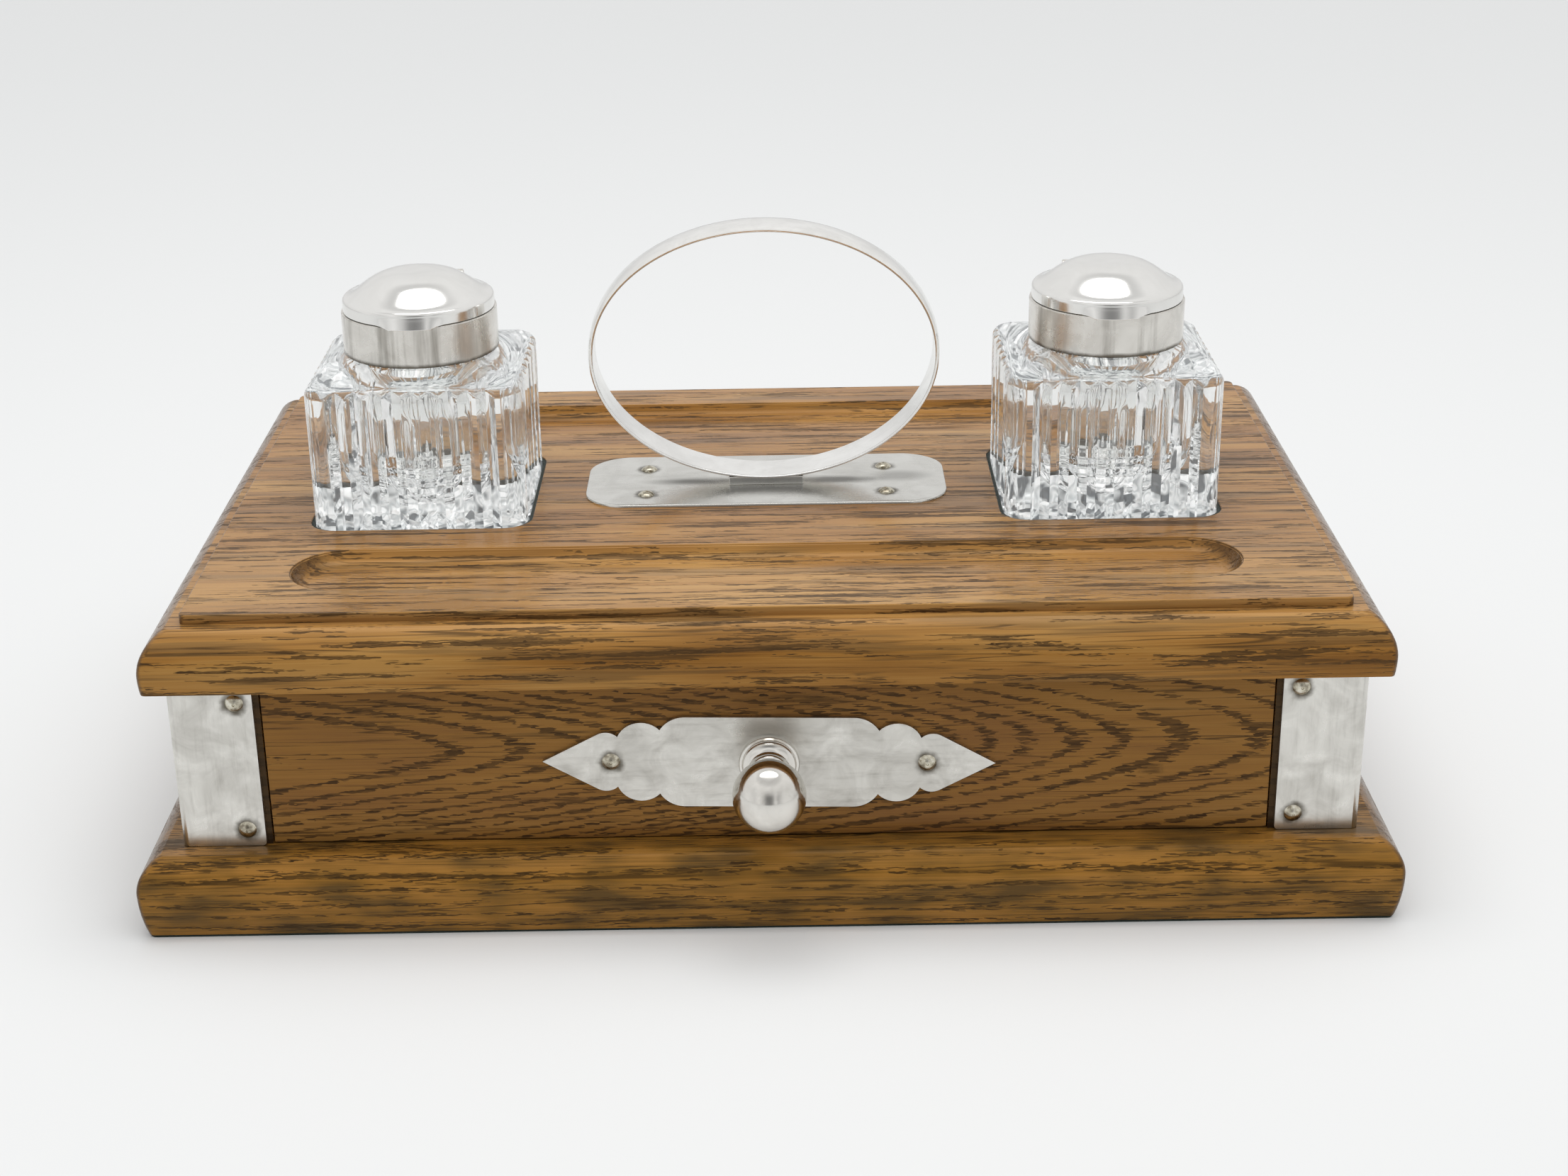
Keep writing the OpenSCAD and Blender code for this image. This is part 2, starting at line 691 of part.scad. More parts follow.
// Cast ball knob with a stepped foot and a bead on its neck
knob_step = 1.2;
bead_r = 1;
module drawer_knob() color(silver) difference() {
    translate([0, -case_y - plate_t, knob_z]) rotate([90, 0, 0]) {
        cylinder(h = knob_step, r = knob_foot_r);
        cylinder(h = 2 * knob_step, r = knob_foot_r - 0.85);
        translate([0, 0, 2 * knob_step])
            cylinder(h = 1.6, r1 = knob_foot_r - 1.7, r2 = knob_neck_r);
        cylinder(h = ball_reach, r = knob_neck_r);
        translate([0, 0, 4 * knob_step + bead_r]) rotate_extrude()
            translate([knob_neck_r, 0]) circle(bead_r);
        translate([0, 0, ball_reach]) sphere(ball_r);
    }
    at_knob_screw() knob_screw_body(stud_clearance);
}

// Plan of a glass block: straight sides with pointed mitre cuts, and round corners
glass_half = glass_w / 2;
flute_run = 2 * (glass_half - glass_corner_r);
flute_pitch = flute_run / flute_count;
flute_side = concat(
    [for (i = [0:flute_count - 1], half = [0, 1])
        [-flute_run / 2 + (i + half / 2) * flute_pitch, -glass_half + half * flute_depth]],
    [[flute_run / 2, -glass_half]],
    arc([glass_half - glass_corner_r, -glass_half + glass_corner_r], glass_corner_r, -90, 0, 8)
);
glass_plan = [for (a = [0:90:270], i = [0:len(flute_side) - 2]) turned(flute_side, a)[i]];

// Upright section of a glass block: chamfered foot, rounded edge, sloping shoulder
module glass_section() {
    inner = glass_half - glass_edge_r;
    polygon([[-glass_half + glass_foot, 0], [glass_half - glass_foot, 0], [glass_half, glass_foot],
        [glass_half, glass_edge_h - glass_edge_r], [inner, glass_edge_h],
        [collar_r, glass_edge_h + shoulder_rise], [-collar_r, glass_edge_h + shoulder_rise],
        [-inner, glass_edge_h], [-glass_half, glass_edge_h - glass_edge_r], [-glass_half, glass_foot]]);
    for (x = [-inner, inner]) translate([x, glass_edge_h - glass_edge_r]) circle(glass_edge_r);
}

// Ink cavity: a round-bottomed pot that narrows to the bore through the neck
module ink_cavity() {
    top = glass_edge_h + shoulder_rise + neck_h;
    pot_top = glass_edge_h - 8;
    floor_r = 8;
    rotate_extrude() {
        translate([0, glass_floor]) square([cavity_r - floor_r, pot_top - glass_floor]);
        translate([0, glass_floor + floor_r]) square([cavity_r, pot_top - glass_floor - floor_r]);
        translate([cavity_r - floor_r, glass_floor + floor_r]) intersection() {
            circle(floor_r);
            translate([0, -floor_r]) square(floor_r);
        }
        polygon([[0, pot_top - 1], [cavity_r, pot_top - 1], [cavity_r, pot_top],
            [bore_r, glass_edge_h], [bore_r, top + 1], [0, top + 1]]);
    }
}

// Square glass block with mitre-cut sides, a round neck and a round-bottomed ink cavity
module glass_well(x) color(glass) translate([x, well_y, glass_z]) difference() {
    union() {
        intersection() {
            linear_extrude(glass_edge_h + shoulder_rise) polygon(glass_plan);
            rotate([90, 0, 0]) linear_extrude(2 * glass_w, center = true) glass_section();
            rotate([90, 0, 90]) linear_extrude(2 * glass_w, center = true) glass_section();
        }
        cylinder(h = glass_edge_h + shoulder_rise + neck_h, r = neck_r);
    }
    ink_cavity();
}

module glass_well_left() glass_well(-well_x);
module glass_well_right() glass_well(well_x);

// Plaster that holds the collar on the neck
module collar_cement(x) color(plaster) translate([x, well_y, shoulder_z + cement_fit]) difference() {
    cylinder(h = neck_h - 2 * cement_fit, r = collar_r - collar_t - cement_fit);
    translate([0, 0, -1]) cylinder(h = neck_h + 2, r = neck_r + cement_fit);
}

module collar_cement_left() collar_cement(-well_x);
module collar_cement_right() collar_cement(well_x);

// One knuckle of a hinge, centred on the hinge axis
module barrel(from, length) {
    translate([from, hinge_y, 0]) rotate([0, 90, 0]) cylinder(h = length, r = barrel_r);
}

module hinge_bore() {
    translate([-hinge_l, hinge_y, 0]) rotate([0, 90, 0])
        cylinder(h = 2 * hinge_l, r = hinge_pin_r + hinge_clearance);
}

// Silver collar with a turned-in top and two hinge knuckles at the back
outer_knuckle_l = (hinge_l - knuckle_l) / 2 - knuckle_gap;
web_h = 3;
module collar(x) color(silver) translate([x, well_y, shoulder_z]) difference() {
    union() {
        cylinder(h = collar_h, r = collar_r);
        for (side = [0, 1]) mirror([side, 0, 0]) translate([0, 0, collar_h]) {
            translate([0, 0, hinge_rise]) barrel(hinge_l / 2 - outer_knuckle_l, outer_knuckle_l);
            translate([hinge_l / 2 - outer_knuckle_l, lid_r - 3.5, -web_h])
                cube([outer_knuckle_l, hinge_y - lid_r + 3.5, web_h]);
            translate([hinge_l / 2 - outer_knuckle_l, hinge_y - 0.8 * barrel_r, -web_h])
                cube([outer_knuckle_l, 1.6 * barrel_r, web_h + hinge_rise]);
        }
    }
    translate([0, 0, -1]) cylinder(h = collar_h - collar_t + 1, r = collar_r - collar_t);
    cylinder(h = collar_h + 1, r = bore_r + 1);
    translate([0, 0, collar_h + hinge_rise]) hinge_bore();
}

module collar_left() collar(-well_x);
module collar_right() collar(well_x);

module hinge_pin(x) color(brass) translate([x - hinge_l / 2, well_y + hinge_y, hinge_z])
    rotate([0, 90, 0]) cylinder(h = hinge_l, r = hinge_pin_r);

module hinge_pin_left() hinge_pin(-well_x);
module hinge_pin_right() hinge_pin(well_x);

// Height of the lid's dome above its rim, at a distance from its middle
function dome(x) = dome_rise * (1 + cos(180 * pow(x / lid_r, dome_full))) / 2;
dome_steps = 20;
edge_x = lid_r - lid_edge_r;
edge_top = lid_rim_h + dome(edge_x);

// Thin domed lid with a thumb lip in front and one hinge knuckle behind
module lid(x) color(silver) translate([x, well_y, rim_z]) difference() {
    union() {
        rotate_extrude() polygon(concat([[0, 0]], [for (i = [0:dome_steps])
            let (x = edge_x * i / dome_steps) [x, lid_rim_h + dome(x)]],
            [for (a = [75:-15:0]) [edge_x + lid_edge_r * cos(a), edge_top - lid_edge_r * (1 - sin(a))]],
            [[lid_r, 0]]));
        linear_extrude(lip_t) intersection() {
            translate([0, -lid_r - lip_out + lip_r]) circle(lip_r);
            translate([-lip_r, -lid_r - lip_r]) square([2 * lip_r, 1.5 * lip_r]);
        }
        translate([0, 0, hinge_rise - seam]) barrel(-knuckle_l / 2, knuckle_l);
        translate([-knuckle_l / 2, lid_r - 3, 0]) cube([knuckle_l, 3 + barrel_gap + barrel_r, lid_rim_h]);
    }
    rotate_extrude() polygon(concat([[0, -1]], [for (i = [0:dome_steps])
        let (x = (lid_r - lid_t) * i / dome_steps) [x, lid_rim_h - 1.1 * lid_t + dome(x)]],
        [[lid_r - lid_t, -1]]));
    translate([0, 0, hinge_rise - seam]) hinge_bore();
}

module lid_left() lid(-well_x);
module lid_right() lid(well_x);

base_baize();
base_board();
base_screws();
end_panel_left();
end_panel_right();
back_panel();
top_dowels();
top_board();
corner_mount_front_left();
corner_mount_front_right();
corner_mount_back_left();
corner_mount_back_right();
corner_mount_pins();
socket_lining_left();
socket_lining_right();
ring_foot_plate();
ring_foot_pins();
handle_ring();
drawer_front();
drawer_side_left();
drawer_side_right();
drawer_back();
drawer_bottom();
drawer_lining();
drawer_plate();
drawer_plate_pins();
drawer_knob();
knob_screw();
glass_well_left();
glass_well_right();
collar_cement_left();
collar_cement_right();
collar_left();
collar_right();
hinge_pin_left();
hinge_pin_right();
lid_left();
lid_right();
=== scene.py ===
"""A desk inkstand in waxed oak and silver, dressed over its CAD frame."""

import math

import bmesh
import bpy
from mathutils import Matrix, Vector


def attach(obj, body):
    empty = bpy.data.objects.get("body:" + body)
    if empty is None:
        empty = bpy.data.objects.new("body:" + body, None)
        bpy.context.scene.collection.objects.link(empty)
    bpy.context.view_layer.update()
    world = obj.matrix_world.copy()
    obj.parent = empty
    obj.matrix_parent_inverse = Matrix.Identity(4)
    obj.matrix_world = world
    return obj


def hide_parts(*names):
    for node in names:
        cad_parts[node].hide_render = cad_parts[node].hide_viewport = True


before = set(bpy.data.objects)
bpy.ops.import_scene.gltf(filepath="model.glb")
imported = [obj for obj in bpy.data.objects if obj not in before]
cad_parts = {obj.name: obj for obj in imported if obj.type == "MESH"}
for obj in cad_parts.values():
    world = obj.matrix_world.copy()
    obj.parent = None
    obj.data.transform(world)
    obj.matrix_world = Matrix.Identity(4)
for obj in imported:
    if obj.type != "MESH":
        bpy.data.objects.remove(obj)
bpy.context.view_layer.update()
scene = bpy.context.scene
scene.view_settings.view_transform = "Standard"


# Camera
# The camera stands where the photograph was taken: about 60 cm in front of the stand and 30 cm
# above the table, looking down by 22.6 degrees, with a slight lean to one side.
camera_place = Vector((0.00343, -0.60246, 0.29872))
camera_yaw, camera_pitch, camera_lean = 0.0013, -0.3936, -0.0153
look = Vector((
    math.sin(camera_yaw) * math.cos(camera_pitch),
    math.cos(camera_yaw) * math.cos(camera_pitch),
    math.sin(camera_pitch),
))
level = Vector((math.cos(camera_yaw), -math.sin(camera_yaw), 0))
upright = level.cross(look)
camera_right = level * math.cos(camera_lean) + upright * math.sin(camera_lean)
camera_up = upright * math.cos(camera_lean) - level * math.sin(camera_lean)
camera = bpy.data.objects.new("camera", bpy.data.cameras.new("camera"))
camera.data.sensor_width = 36
camera.data.lens = 56.26
camera.data.clip_start = 0.01
camera.matrix_world = (
    Matrix.Translation(camera_place) @ Matrix((camera_right, camera_up, -look)).transposed().to_4x4()
)
scene.collection.objects.link(camera)
scene.camera = camera


# Paper sweep and light tent
# The stand is lit on white paper in a light tent: most of the light falls from above, the paper
# throws some of it back on the fronts, and metal and glass mirror the pale walls all round.
def linear(code):
    """A hex colour as the linear values that a shader socket takes."""
    shares = [int(code[i : i + 2], 16) / 255 for i in (1, 3, 5)]
    return [s / 12.92 if s <= 0.04045 else ((s + 0.055) / 1.055) ** 2.4 for s in shares] + [1]


def add(tree, kind, inputs=None, stops=None, **settings):
    """Adds a node. An input is a value, a hex colour, a socket, or a node whose first output feeds it."""
    made = tree.nodes.new(kind)
    for name, value in settings.items():
        setattr(made, name, value)
    for socket, value in (inputs or {}).items():
        if isinstance(value, bpy.types.Node):
            value = value.outputs[0]
        if isinstance(value, bpy.types.NodeSocket):
            tree.links.new(value, made.inputs[socket])
        else:
            made.inputs[socket].default_value = linear(value) if isinstance(value, str) else value
    for i, (place, tone) in enumerate(stops or ()):
        ramp = made.color_ramp.elements
        stop = ramp[i] if i < 2 else ramp.new(place)
        stop.position = place
        stop.color = linear(tone) if isinstance(tone, str) else (tone, tone, tone, 1)
    return made


paper_white = "#e6e7e7"
world = bpy.data.worlds.new("light_tent")
world.use_nodes = True
tent = world.node_tree
tent.nodes.clear()
ray = add(tent, "ShaderNodeLightPath")
seen = add(tent, "ShaderNodeMath", {0: ray.outputs["Is Camera Ray"], 1: ray.outputs["Is Glossy Ray"]},
    operation="MAXIMUM")
seen = add(tent, "ShaderNodeMath", {0: seen, 1: ray.outputs["Is Transmission Ray"]}, operation="MAXIMUM")
sky = add(tent, "ShaderNodeTexCoord").outputs["Generated"]
towards = add(tent, "ShaderNodeSeparateXYZ", {0: sky})
height = add(tent, "ShaderNodeMath", {0: towards.outputs["Z"], 1: 0.5, 2: 0.5}, operation="MULTIPLY_ADD")

# Matt surfaces get their light from above, a little from the right and from the front
main_light, daylight = (0.10, -0.12, 0.988), 2.08
upward = add(tent, "ShaderNodeVectorMath", {0: sky, 1: main_light}, operation="DOT_PRODUCT")
upward = add(tent, "ShaderNodeMath", {0: upward.outputs["Value"], 1: 0.5, 2: 0.5}, operation="MULTIPLY_ADD")
falling = add(tent, "ShaderNodeValToRGB", {0: upward}, stops=[(0.0, 0.08), (0.5, 0.04), (0.65, 0.09),
    (0.84, 0.28), (0.92, 0.8), (1.0, 0.87)])
falling = add(tent, "ShaderNodeVectorMath", {0: falling, "Scale": daylight}, operation="SCALE")

# The camera, metal and glass see pale walls with a greyer ring round the lamp
walls = add(tent, "ShaderNodeValToRGB", {0: height}, stops=[(0.0, 0.6), (0.5, 0.7), (0.6, 0.84), (0.9, 0.93),
    (0.945, 0.7), (0.975, 0.64), (1.0, 0.8)])

# Metal also mirrors the front of the tent, where its opening makes darker upright bands
across = add(tent, "ShaderNodeMath", {0: towards.outputs["X"], 1: 0.5, 2: 0.5}, operation="MULTIPLY_ADD")
bands = add(tent, "ShaderNodeValToRGB", {0: across}, stops=[
    (0.0, 0.95), (0.12, 0.75), (0.25, 0.92), (0.36, 0.62), (0.43, 0.3), (0.5, 0.24), (0.58, 0.32),
    (0.66, 0.85), (0.74, 0.55), (0.85, 0.85), (1.0, 0.9)])
front = add(tent, "ShaderNodeMapRange", {0: towards.outputs["Y"], 1: 0.15, 2: -0.35},
    interpolation_type="SMOOTHSTEP")
low = add(tent, "ShaderNodeMapRange", {0: towards.outputs["Z"], 1: 0.75, 2: 0.35},
    interpolation_type="SMOOTHSTEP")
front = add(tent, "ShaderNodeMath", {0: front, 1: low}, operation="MULTIPLY")
front = add(tent, "ShaderNodeMath", {0: front, 1: ray.outputs["Is Glossy Ray"]}, operation="MULTIPLY")
walls = add(tent, "ShaderNodeMix", {0: front, 6: walls, 7: bands}, data_type="RGBA").outputs[2]
mixed = add(tent, "ShaderNodeMix", {0: seen, 6: falling, 7: walls}, data_type="RGBA")
glow = add(tent, "ShaderNodeBackground", {"Color": mixed.outputs[2], "Strength": 1.0})
add(tent, "ShaderNodeOutputWorld", {"Surface": glow})
scene.world = world

# Uncoated white paper: matt, with next to no shine
paper = bpy.data.materials.new("white_paper")
paper.use_nodes = True
sheet = paper.node_tree
sheet.nodes["Principled BSDF"].inputs["Base Color"].default_value = linear(paper_white)
sheet.nodes["Principled BSDF"].inputs["Roughness"].default_value = 0.9
sheet.nodes["Principled BSDF"].inputs["Specular IOR Level"].default_value = 0.1
bm = bmesh.new()
bmesh.ops.create_grid(bm, x_segments=1, y_segments=1, size=3)
floor = bpy.data.objects.new("paper_sweep", bpy.data.meshes.new("paper_sweep"))
bm.to_mesh(floor.data)
bm.free()
floor.data.materials.append(paper)
scene.collection.objects.link(floor)

# The lamp over the tent makes the white patch on each lid
lamp = bpy.data.objects.new("tent_top", bpy.data.lights.new("tent_top", "AREA"))
lamp.data.shape = "ELLIPSE"
lamp.data.size, lamp.data.size_y = 0.76, 0.38
lamp.data.energy = 2.2
lamp.location = (0.0, 0.04, 0.95)
scene.collection.objects.link(lamp)


# Base board
# The board that everything stands on: oak about 19 mm thick, with a moulding of one long and one
# short curve run round all four edges, mitred at the corners and finished in wax.
def oak(
    name, years, shift=(0, 0, 0), tones=("#7a4f22", "#936429", "#a1743a"), dark="#3b2a19",
    pore=(6.0, 0.5), wild=(16, 4.5), full=1.0, busy=1.0, streaks=0.0, smoke=0.0, cloud=(80, 16),
    ends=("X", 0.75, "#4a3420"), wear_and_sheen=0.0,
):
    """Fumed and waxed oak: mid brown, with dark wax in its open pores and a low sheen.

    years(tree, place) counts the growth rings at a place in mm, and shift moves the whole pattern. tones
    are those of the wood, and dark is that of the wax. pore is a pore's length and width, wild is how far
    the rings wander along and across, and cloud is the size of the broad patches. busy, streaks and smoke
    say how many pores, long dark streaks and grey veils there are, full how dark the pores are, and the
    last argument how strongly a painted sheen pales the front of the upper side. ends has the axis of the
    end grain, its share of wax and its tone. Real pores are about 0.2 mm wide; most are drawn wider, so
    that they show.
    """
    wood = bpy.data.materials.new(name)
    wood.use_nodes = True
    tree = wood.node_tree
    skin = tree.nodes["Principled BSDF"]
    coords = add(tree, "ShaderNodeTexCoord")
    here = add(tree, "ShaderNodeVectorMath", {0: coords.outputs["Object"], 1: (1000, 1000, 1000)},
        operation="MULTIPLY")
    moved = add(tree, "ShaderNodeVectorMath", {0: here, 1: shift}, operation="ADD")

    def grain(place, length, width, detail=2.0):
        """Marks about so many mm long and wide, drawn out along the grain."""
        drawn = add(tree, "ShaderNodeVectorMath", {0: place, 1: (1 / length, 1 / width, 1 / width)},
            operation="MULTIPLY")
        return add(tree, "ShaderNodeTexNoise", {"Vector": drawn, "Scale": 1.0, "Detail": detail})

    # Each pore is one long cell, dark or not as a whole, so the bands of pores end raggedly along the grain
    bent = add(tree, "ShaderNodeVectorMath", {0: grain(moved, 2.5, 0.9, 1.0).outputs["Color"],
        1: (0.5, 0.5, 0.5)}, operation="SUBTRACT")
    bent = add(tree, "ShaderNodeVectorMath", {0: bent, 1: (3.0, 0.55, 0.55), 2: moved},
        operation="MULTIPLY_ADD")
    cells = add(tree, "ShaderNodeVectorMath", {0: bent, 1: (1 / pore[0], 1 / pore[1], 1 / pore[1])},
        operation="MULTIPLY")
    cells = add(tree, "ShaderNodeTexVoronoi", {"Vector": cells, "Scale": 1.0, "Randomness": 1.0})
    spot = add(tree, "ShaderNodeVectorMath", {0: cells.outputs["Position"], 1: (pore[0], pore[1], pore[1])},
        operation="MULTIPLY")
    wander = add(tree, "ShaderNodeVectorMath", {0: grain(spot, 60, 18).outputs["Color"], 1: (0.5, 0.5, 0.5)},
        operation="SUBTRACT")
    spot = add(tree, "ShaderNodeVectorMath", {0: spot, 1: shift}, operation="SUBTRACT")
    spot = add(tree, "ShaderNodeVectorMath", {0: wander, 1: (wild[0], wild[1], wild[1]), 2: spot},
        operation="MULTIPLY_ADD")
    chance = add(tree, "ShaderNodeSeparateColor", {0: cells.outputs["Color"]})
    count = add(tree, "ShaderNodeMath", {0: chance.outputs["Red"], 1: 0.07, 2: years(tree, spot)},
        operation="MULTIPLY_ADD")
    season = add(tree, "ShaderNodeMath", {0: count}, operation="FRACT")
    crowd = add(tree, "ShaderNodeValToRGB", {0: season}, stops=[
        (0.0, 0.1), (0.07, busy), (0.25, busy), (0.36, busy * 0.12), (0.5, 0.02), (1.0, 0.01)])
    thick = add(tree, "ShaderNodeMapRange", {0: grain(moved, 70, 7).outputs["Fac"], 1: 0.3, 2: 0.6, 3: -0.3,
        4: 0.06})
    crowd = add(tree, "ShaderNodeMath", {0: crowd, 1: thick}, operation="ADD")
    settled = add(tree, "ShaderNodeVectorMath", {0: spot, 1: shift}, operation="ADD")
    streak = add(tree, "ShaderNodeMapRange", {0: grain(settled, 38, 1.5, 1.5).outputs["Fac"], 1: 0.57,
        2: 0.64, 3: 0.0, 4: streaks}, interpolation_type="SMOOTHSTEP")
    crowd = add(tree, "ShaderNodeMath", {0: crowd, 1: streak}, operation="ADD")
    open_pore = add(tree, "ShaderNodeMath", {0: crowd, 1: chance.outputs["Green"]}, operation="SUBTRACT")
    open_pore = add(tree, "ShaderNodeMapRange", {0: open_pore, 1: -0.03, 2: 0.03},
        interpolation_type="SMOOTHSTEP")
    depth = add(tree, "ShaderNodeMapRange", {0: chance.outputs["Blue"], 3: 0.6, 4: 1.0})
    pores = add(tree, "ShaderNodeMath", {0: open_pore, 1: depth}, operation="MULTIPLY")

    # Hair-thin dark lines run for centimetres along the grain, two or three millimetres apart
    level = add(tree, "ShaderNodeMath", {0: grain(moved, 90, 2.4, 1.0).outputs["Fac"], 1: 0.5},
        operation="SUBTRACT")
    level = add(tree, "ShaderNodeMath", {0: level}, operation="ABSOLUTE")
    hairs = add(tree, "ShaderNodeMapRange", {0: level, 1: 0.006, 2: 0.028, 3: 1.0, 4: 0.0},
        interpolation_type="SMOOTHSTEP")
    broken = add(tree, "ShaderNodeMapRange", {0: grain(moved, 22, 1.6, 2).outputs["Fac"], 1: 0.42, 2: 0.6,
        3: 0.0, 4: 0.75})
    hairs = add(tree, "ShaderNodeMath", {0: hairs, 1: broken}, operation="MULTIPLY")
    pores = add(tree, "ShaderNodeMath", {0: pores, 1: hairs}, operation="MAXIMUM")

    # Fine fibres and broad patches run from brown to tan, with some veils of grey
    fibres = add(tree, "ShaderNodeMath", {0: grain(moved, 26, 0.32, 2).outputs["Fac"], 1: 0.55, 2: -0.275},
        operation="MULTIPLY_ADD")
    wide_fibres = add(tree, "ShaderNodeMath", {0: grain(moved, 60, 1.6, 2).outputs["Fac"], 1: 0.5, 2: -0.25},
        operation="MULTIPLY_ADD")
    fibres = add(tree, "ShaderNodeMath", {0: fibres, 1: wide_fibres}, operation="ADD")
    fibres = add(tree, "ShaderNodeMath", {0: fibres, 1: 0.25}, operation="SUBTRACT")
    patches = add(tree, "ShaderNodeMath", {0: grain(moved, *cloud, 2).outputs["Fac"], 1: 1.5, 2: fibres},
        operation="MULTIPLY_ADD")
    tone = add(tree, "ShaderNodeValToRGB", {0: patches},
        stops=[(0.22, tones[0]), (0.5, tones[1]), (0.78, tones[2])])
    drift = add(tree, "ShaderNodeMath", {0: grain(moved, 20, 0.5, 2).outputs["Fac"], 1: 0.3,
        2: grain(moved, 52, 4.2, 2).outputs["Fac"]}, operation="MULTIPLY_ADD")
    smoky = add(tree, "ShaderNodeMapRange", {0: drift, 1: 0.68, 2: 0.8, 3: 0.0, 4: smoke},
        interpolation_type="SMOOTHSTEP")
    tone = add(tree, "ShaderNodeMix", {0: smoky, 6: tone.outputs["Color"], 7: "#57432c"},
        data_type="RGBA").outputs[2]

    # A painted sheen makes the upper side paler along its front, and dark wax fills the pores
    around = add(tree, "ShaderNodeSeparateXYZ", {0: here})
    rubbing_and_sheen = add(tree, "ShaderNodeMapRange", {0: around.outputs["Y"], 1: -30, 2: -55, 3: 0.0, 4: wear_and_sheen},
        interpolation_type="SMOOTHSTEP")
    raised = add(tree, "ShaderNodeMapRange", {0: around.outputs["Z"], 1: 70, 2: 77})
    rubbing_and_sheen = add(tree, "ShaderNodeMath", {0: rubbing_and_sheen, 1: raised}, operation="MULTIPLY")
    tone = add(tree, "ShaderNodeMix", {0: rubbing_and_sheen, 6: tone, 7: "#d2aa70"}, data_type="RGBA").outputs[2]
    share = add(tree, "ShaderNodeMath", {0: pores, 1: full}, operation="MULTIPLY")
    colour = add(tree, "ShaderNodeMix", {0: share, 6: tone, 7: dark}, data_type="RGBA").outputs[2]

    # End grain drinks more wax and turns darker
    facing = add(tree, "ShaderNodeSeparateXYZ", {0: coords.outputs["Normal"]})
    end = add(tree, "ShaderNodeMath", {0: facing.outputs[ends[0]], 1: facing.outputs[ends[0]]},
        operation="MULTIPLY")
    end = add(tree, "ShaderNodeMapRange", {0: end, 1: 0.0, 2: 0.35, 3: 0.0, 4: ends[1]})
    colour = add(tree, "ShaderNodeMix", {0: end, 6: colour, 7: ends[2]}, data_type="RGBA").outputs[2]
    tree.links.new(colour, skin.inputs["Base Color"])
    dull = add(tree, "ShaderNodeMapRange", {0: pores, 3: 0.21, 4: 0.5})
    tree.links.new(dull.outputs[0], skin.inputs["Roughness"])
    skin.inputs["Specular IOR Level"].default_value = 0.65
    skin.inputs["Specular Tint"].default_value = linear("#cca678")
    sunk = add(tree, "ShaderNodeBump", {"Height": pores, "Strength": 0.3, "Distance": 0.00015}, invert=True)
    tree.links.new(sunk.outputs[0], skin.inputs["Normal"])
    return wood


def log_rings(pith_y, pith_z, ring, lean_y=0.0, lean_z=0.0):
    """Growth rings about a pith that runs near X and leans by so many mm for each mm along the board."""
    def years(tree, place):
        along = add(tree, "ShaderNodeSeparateXYZ", {0: place})
        heart = add(tree, "ShaderNodeVectorMath", {0: (0, lean_y, lean_z), "Scale": along.outputs["X"]},
            operation="SCALE")
        heart = add(tree, "ShaderNodeVectorMath", {0: heart, 1: (0, pith_y, pith_z)}, operation="ADD")
        out = add(tree, "ShaderNodeVectorMath", {0: place, 1: heart}, operation="SUBTRACT")
        out = add(tree, "ShaderNodeVectorMath", {0: out, 1: (0, 1, 1)}, operation="MULTIPLY")
        radius = add(tree, "ShaderNodeVectorMath", {0: out}, operation="LENGTH")
        return add(tree, "ShaderNodeMath", {0: radius.outputs["Value"], 1: 1 / ring},
            operation="MULTIPLY").outputs[0]
    return years


corner_signs = ((-1, -1), (1, -1), (1, 1), (-1, 1))


def stepped_board(half_x, half_y, corner, steps, corner_steps=4):
    """A rectangle raised loop by loop from its underside, which stays; a step is an inset and a height."""
    bm = bmesh.new()
    inset, z = steps[0]
    plan = [bm.verts.new((sx * (half_x - inset), sy * (half_y - inset), z)) for sx, sy in corner_signs]
    bm.faces.new(plan)
    bmesh.ops.bevel(bm, geom=plan, offset=corner, segments=corner_steps, profile=0.5, affect="VERTICES",
        material=-1)
    cap = list(bm.faces)[0]
    for i, (next_inset, next_z) in enumerate(steps[1:]):
        grown = bmesh.ops.extrude_face_region(bm, geom=[cap])["geom"]
        if i > 0:
            bmesh.ops.delete(bm, geom=[cap], context="FACES_ONLY")
        cap = next(g for g in grown if isinstance(g, bmesh.types.BMFace))
        for v in cap.verts:
            v.co.x -= (next_inset - inset) * math.copysign(1, v.co.x)
            v.co.y -= (next_inset - inset) * math.copysign(1, v.co.y)
            v.co.z += next_z - z
        inset, z = next_inset, next_z
    return bm, cap


def finished(name, bm, body, material, slot, *stands_for, crease=32):
    """Makes a piece from a bmesh in millimetres; edges sharper than crease degrees stay crisp."""
    bmesh.ops.remove_doubles(bm, verts=bm.verts, dist=1e-4)
    bmesh.ops.recalc_face_normals(bm, faces=bm.faces)
    for edge in bm.edges:
        edge.smooth = edge.calc_face_angle(0) < math.radians(crease)
    for face in bm.faces:
        face.smooth = True
    bmesh.ops.scale(bm, vec=(0.001, 0.001, 0.001), verts=bm.verts)
    piece = bpy.data.objects.new(name, bpy.data.meshes.new(name))
    bm.to_mesh(piece.data)
    bm.free()
    piece.data.materials.append(material)
    scene.collection.objects.link(piece)
    piece.modifiers.new("even_shading", "WEIGHTED_NORMAL").keep_sharp = True
    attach(piece, body)
    if stands_for:
        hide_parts(*stands_for)
    return piece


def curve_up(radius, nose_z, low_z, high_z, steps):
    """Insets and heights along an arc whose widest point is at nose_z, from low_z to high_z."""
    levels = [low_z + (high_z - low_z) * i / steps for i in range(steps + 1)]
    return [(radius - math.sqrt(radius**2 - (z - nose_z) ** 2), z) for z in levels]


